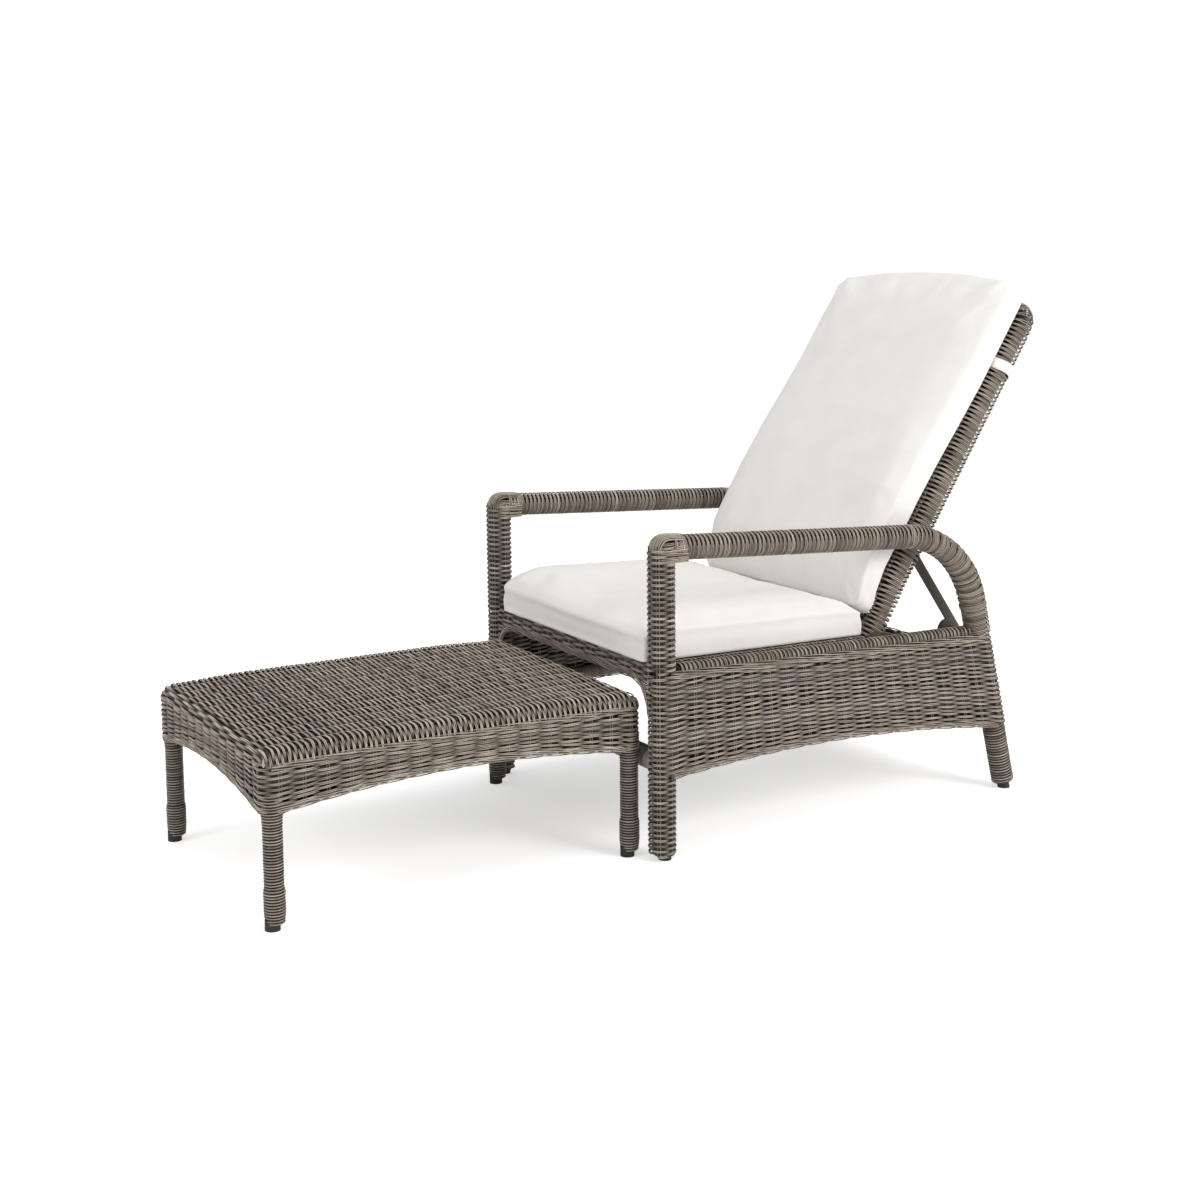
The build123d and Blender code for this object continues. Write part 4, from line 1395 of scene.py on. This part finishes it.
cushion("seat_cushion_cover", "seat_cushion", on_seat, seat_half, seat_plan, crown=0.015,
        corner=0.012, extra=far_side)
cushion("back_cushion_cover", "back_cushion", on_backrest, back_half, back_plan, crown=0.010,
        corner=0.032, arch=top_arch, belly=on_stiles,
        bend=(tuple(on_back(0, 0.035, 0.05)), tuple(on_back(0, 0.17, 0.05))))


def straps():
    """A band of canvas round each stile, its end lapped over itself."""
    strap_up, strap_width, thick = 0.648, 0.024, 0.0013
    strap_r, strap_out, lap = stile_weave_r + 0.0055, 0.0080, 0.0016
    around_count, ring_points = 60, 10
    meshes = []
    for side in (-1, 1):
        turn = np.linspace(radians(-150), radians(235), around_count)
        size = strap_r + lap * smooth((np.arange(around_count) - 44) / 8)
        wave = 0.0011 * np.sin(turn * 3.1 + side)
        centre = on_back(side * stile_x, strap_up + strap_width / 2, strap_out)
        rows = []
        for edge in np.linspace(-0.5, 0.5, 5):
            for layer in (0, thick):
                r = size + layer + 0.0004 * np.cos(edge * tau)
                across, away = np.cos(turn) * r * side, np.sin(turn) * r
                rows.append(centre + grid(across, 0, 0) - away[:, None] * back_out
                            + (edge * strap_width + wave)[:, None] * back_up)
        around = np.array(rows[::2] + rows[::-2])
        index = np.arange(ring_points * around_count).reshape(ring_points, around_count)
        index = index + index.size * len(meshes)
        near, far = index, np.roll(index, -1, 0)
        quads = np.stack([near[:, :-1], far[:, :-1], far[:, 1:], near[:, 1:]], -1)
        faces = quads.reshape(-1, 4).tolist() + [index[::-1, 0].tolist(), index[:, -1].tolist()]
        if side < 0:
            faces = [face[::-1] for face in faces]
        meshes.append((around.reshape(-1, 3), faces))
    mesh = bpy.data.meshes.new("back_cushion_straps")
    mesh.from_pydata(np.concatenate([m[0] for m in meshes]).tolist(), [],
                     [face for m in meshes for face in m[1]])
    mesh.polygons.foreach_set("use_smooth", np.ones(len(mesh.polygons), bool))
    made = bpy.data.objects.new("back_cushion_straps", mesh)
    dress(made, "backrest", canvas, "strap", "cushion_straps")


straps()


# Camera, floor and light

def stage():
    scene = bpy.context.scene
    camera = bpy.data.cameras.new("camera")
    camera.lens = 54.26
    camera.sensor_width = 36
    camera.shift_x = 0.021
    camera.shift_y = -0.1167
    azimuth, pitch, roll = radians(60.17), radians(7.12), radians(-0.62)
    ahead = Vector((-sin(azimuth) * cos(pitch), cos(azimuth) * cos(pitch), -sin(pitch)))
    right = Vector((cos(azimuth), sin(azimuth), 0))
    up = right.cross(ahead)
    across = cos(roll) * right + sin(roll) * up
    above = -sin(roll) * right + cos(roll) * up
    seen = bpy.data.objects.new("camera", camera)
    seen.matrix_world = Matrix.Translation((3.20846, -1.84013 + post_y, 1.2123)) @ Matrix(
        (across, above, -ahead)
    ).transposed().to_4x4()
    scene.collection.objects.link(seen)
    scene.camera = seen

    floor = bpy.data.meshes.new("floor")
    reach = 30.0
    floor.from_pydata(
        [(-reach, -reach, 0), (reach, -reach, 0), (reach, reach, 0), (-reach, reach, 0)],
        [], [(0, 1, 2, 3)],
    )
    ground = bpy.data.objects.new("floor", floor)
    scene.collection.objects.link(ground)
    pale, tree, shader = principled("pale_floor")
    shader.inputs["Base Color"].default_value = (0.88, 0.88, 0.88, 1)
    shader.inputs["Roughness"].default_value = 0.9
    shader.inputs["Emission Color"].default_value = (1, 1, 1, 1)
    seen_rays = tree.nodes.new("ShaderNodeLightPath").outputs["Is Camera Ray"]
    glow = maths(tree, "ADD", maths(tree, "MULTIPLY", seen_rays, 0.36), 0.16)
    tree.links.new(glow, shader.inputs["Emission Strength"])
    floor.materials.append(pale)

    world = bpy.data.worlds.new("studio")
    world.use_nodes = True
    tree = world.node_tree
    back = tree.nodes["Background"]
    back.inputs[0].default_value = (1.0, 1.0, 1.0, 1)
    rays = tree.nodes.new("ShaderNodeLightPath")
    level = maths(tree, "ADD", maths(tree, "MULTIPLY", rays.outputs["Is Camera Ray"], 0.75), 0.55)
    tree.links.new(level, back.inputs[1])
    scene.world = world
    lights = [
        ("key", (3.4, 1.6, 2.2), 1.6, 95, (1.0, 0.985, 0.965)),
        ("fill", (0.6, -4.2, 2.2), 2.0, 60, (1.0, 0.99, 0.975)),
        ("top", (0.2, 0.3, 4.2), 2.4, 46, (1.0, 1.0, 1.0)),
    ]
    target = Vector((0, 0, 0.45))
    for name, spot, size, power, colour in lights:
        light = bpy.data.lights.new(name, "AREA")
        light.size = size
        light.energy = power
        light.color = colour
        lamp = bpy.data.objects.new(name, light)
        lamp.location = spot
        lamp.rotation_euler = (target - Vector(spot)).to_track_quat("-Z", "Y").to_euler()
        scene.collection.objects.link(lamp)
    scene.view_settings.view_transform = "Standard"


stage()
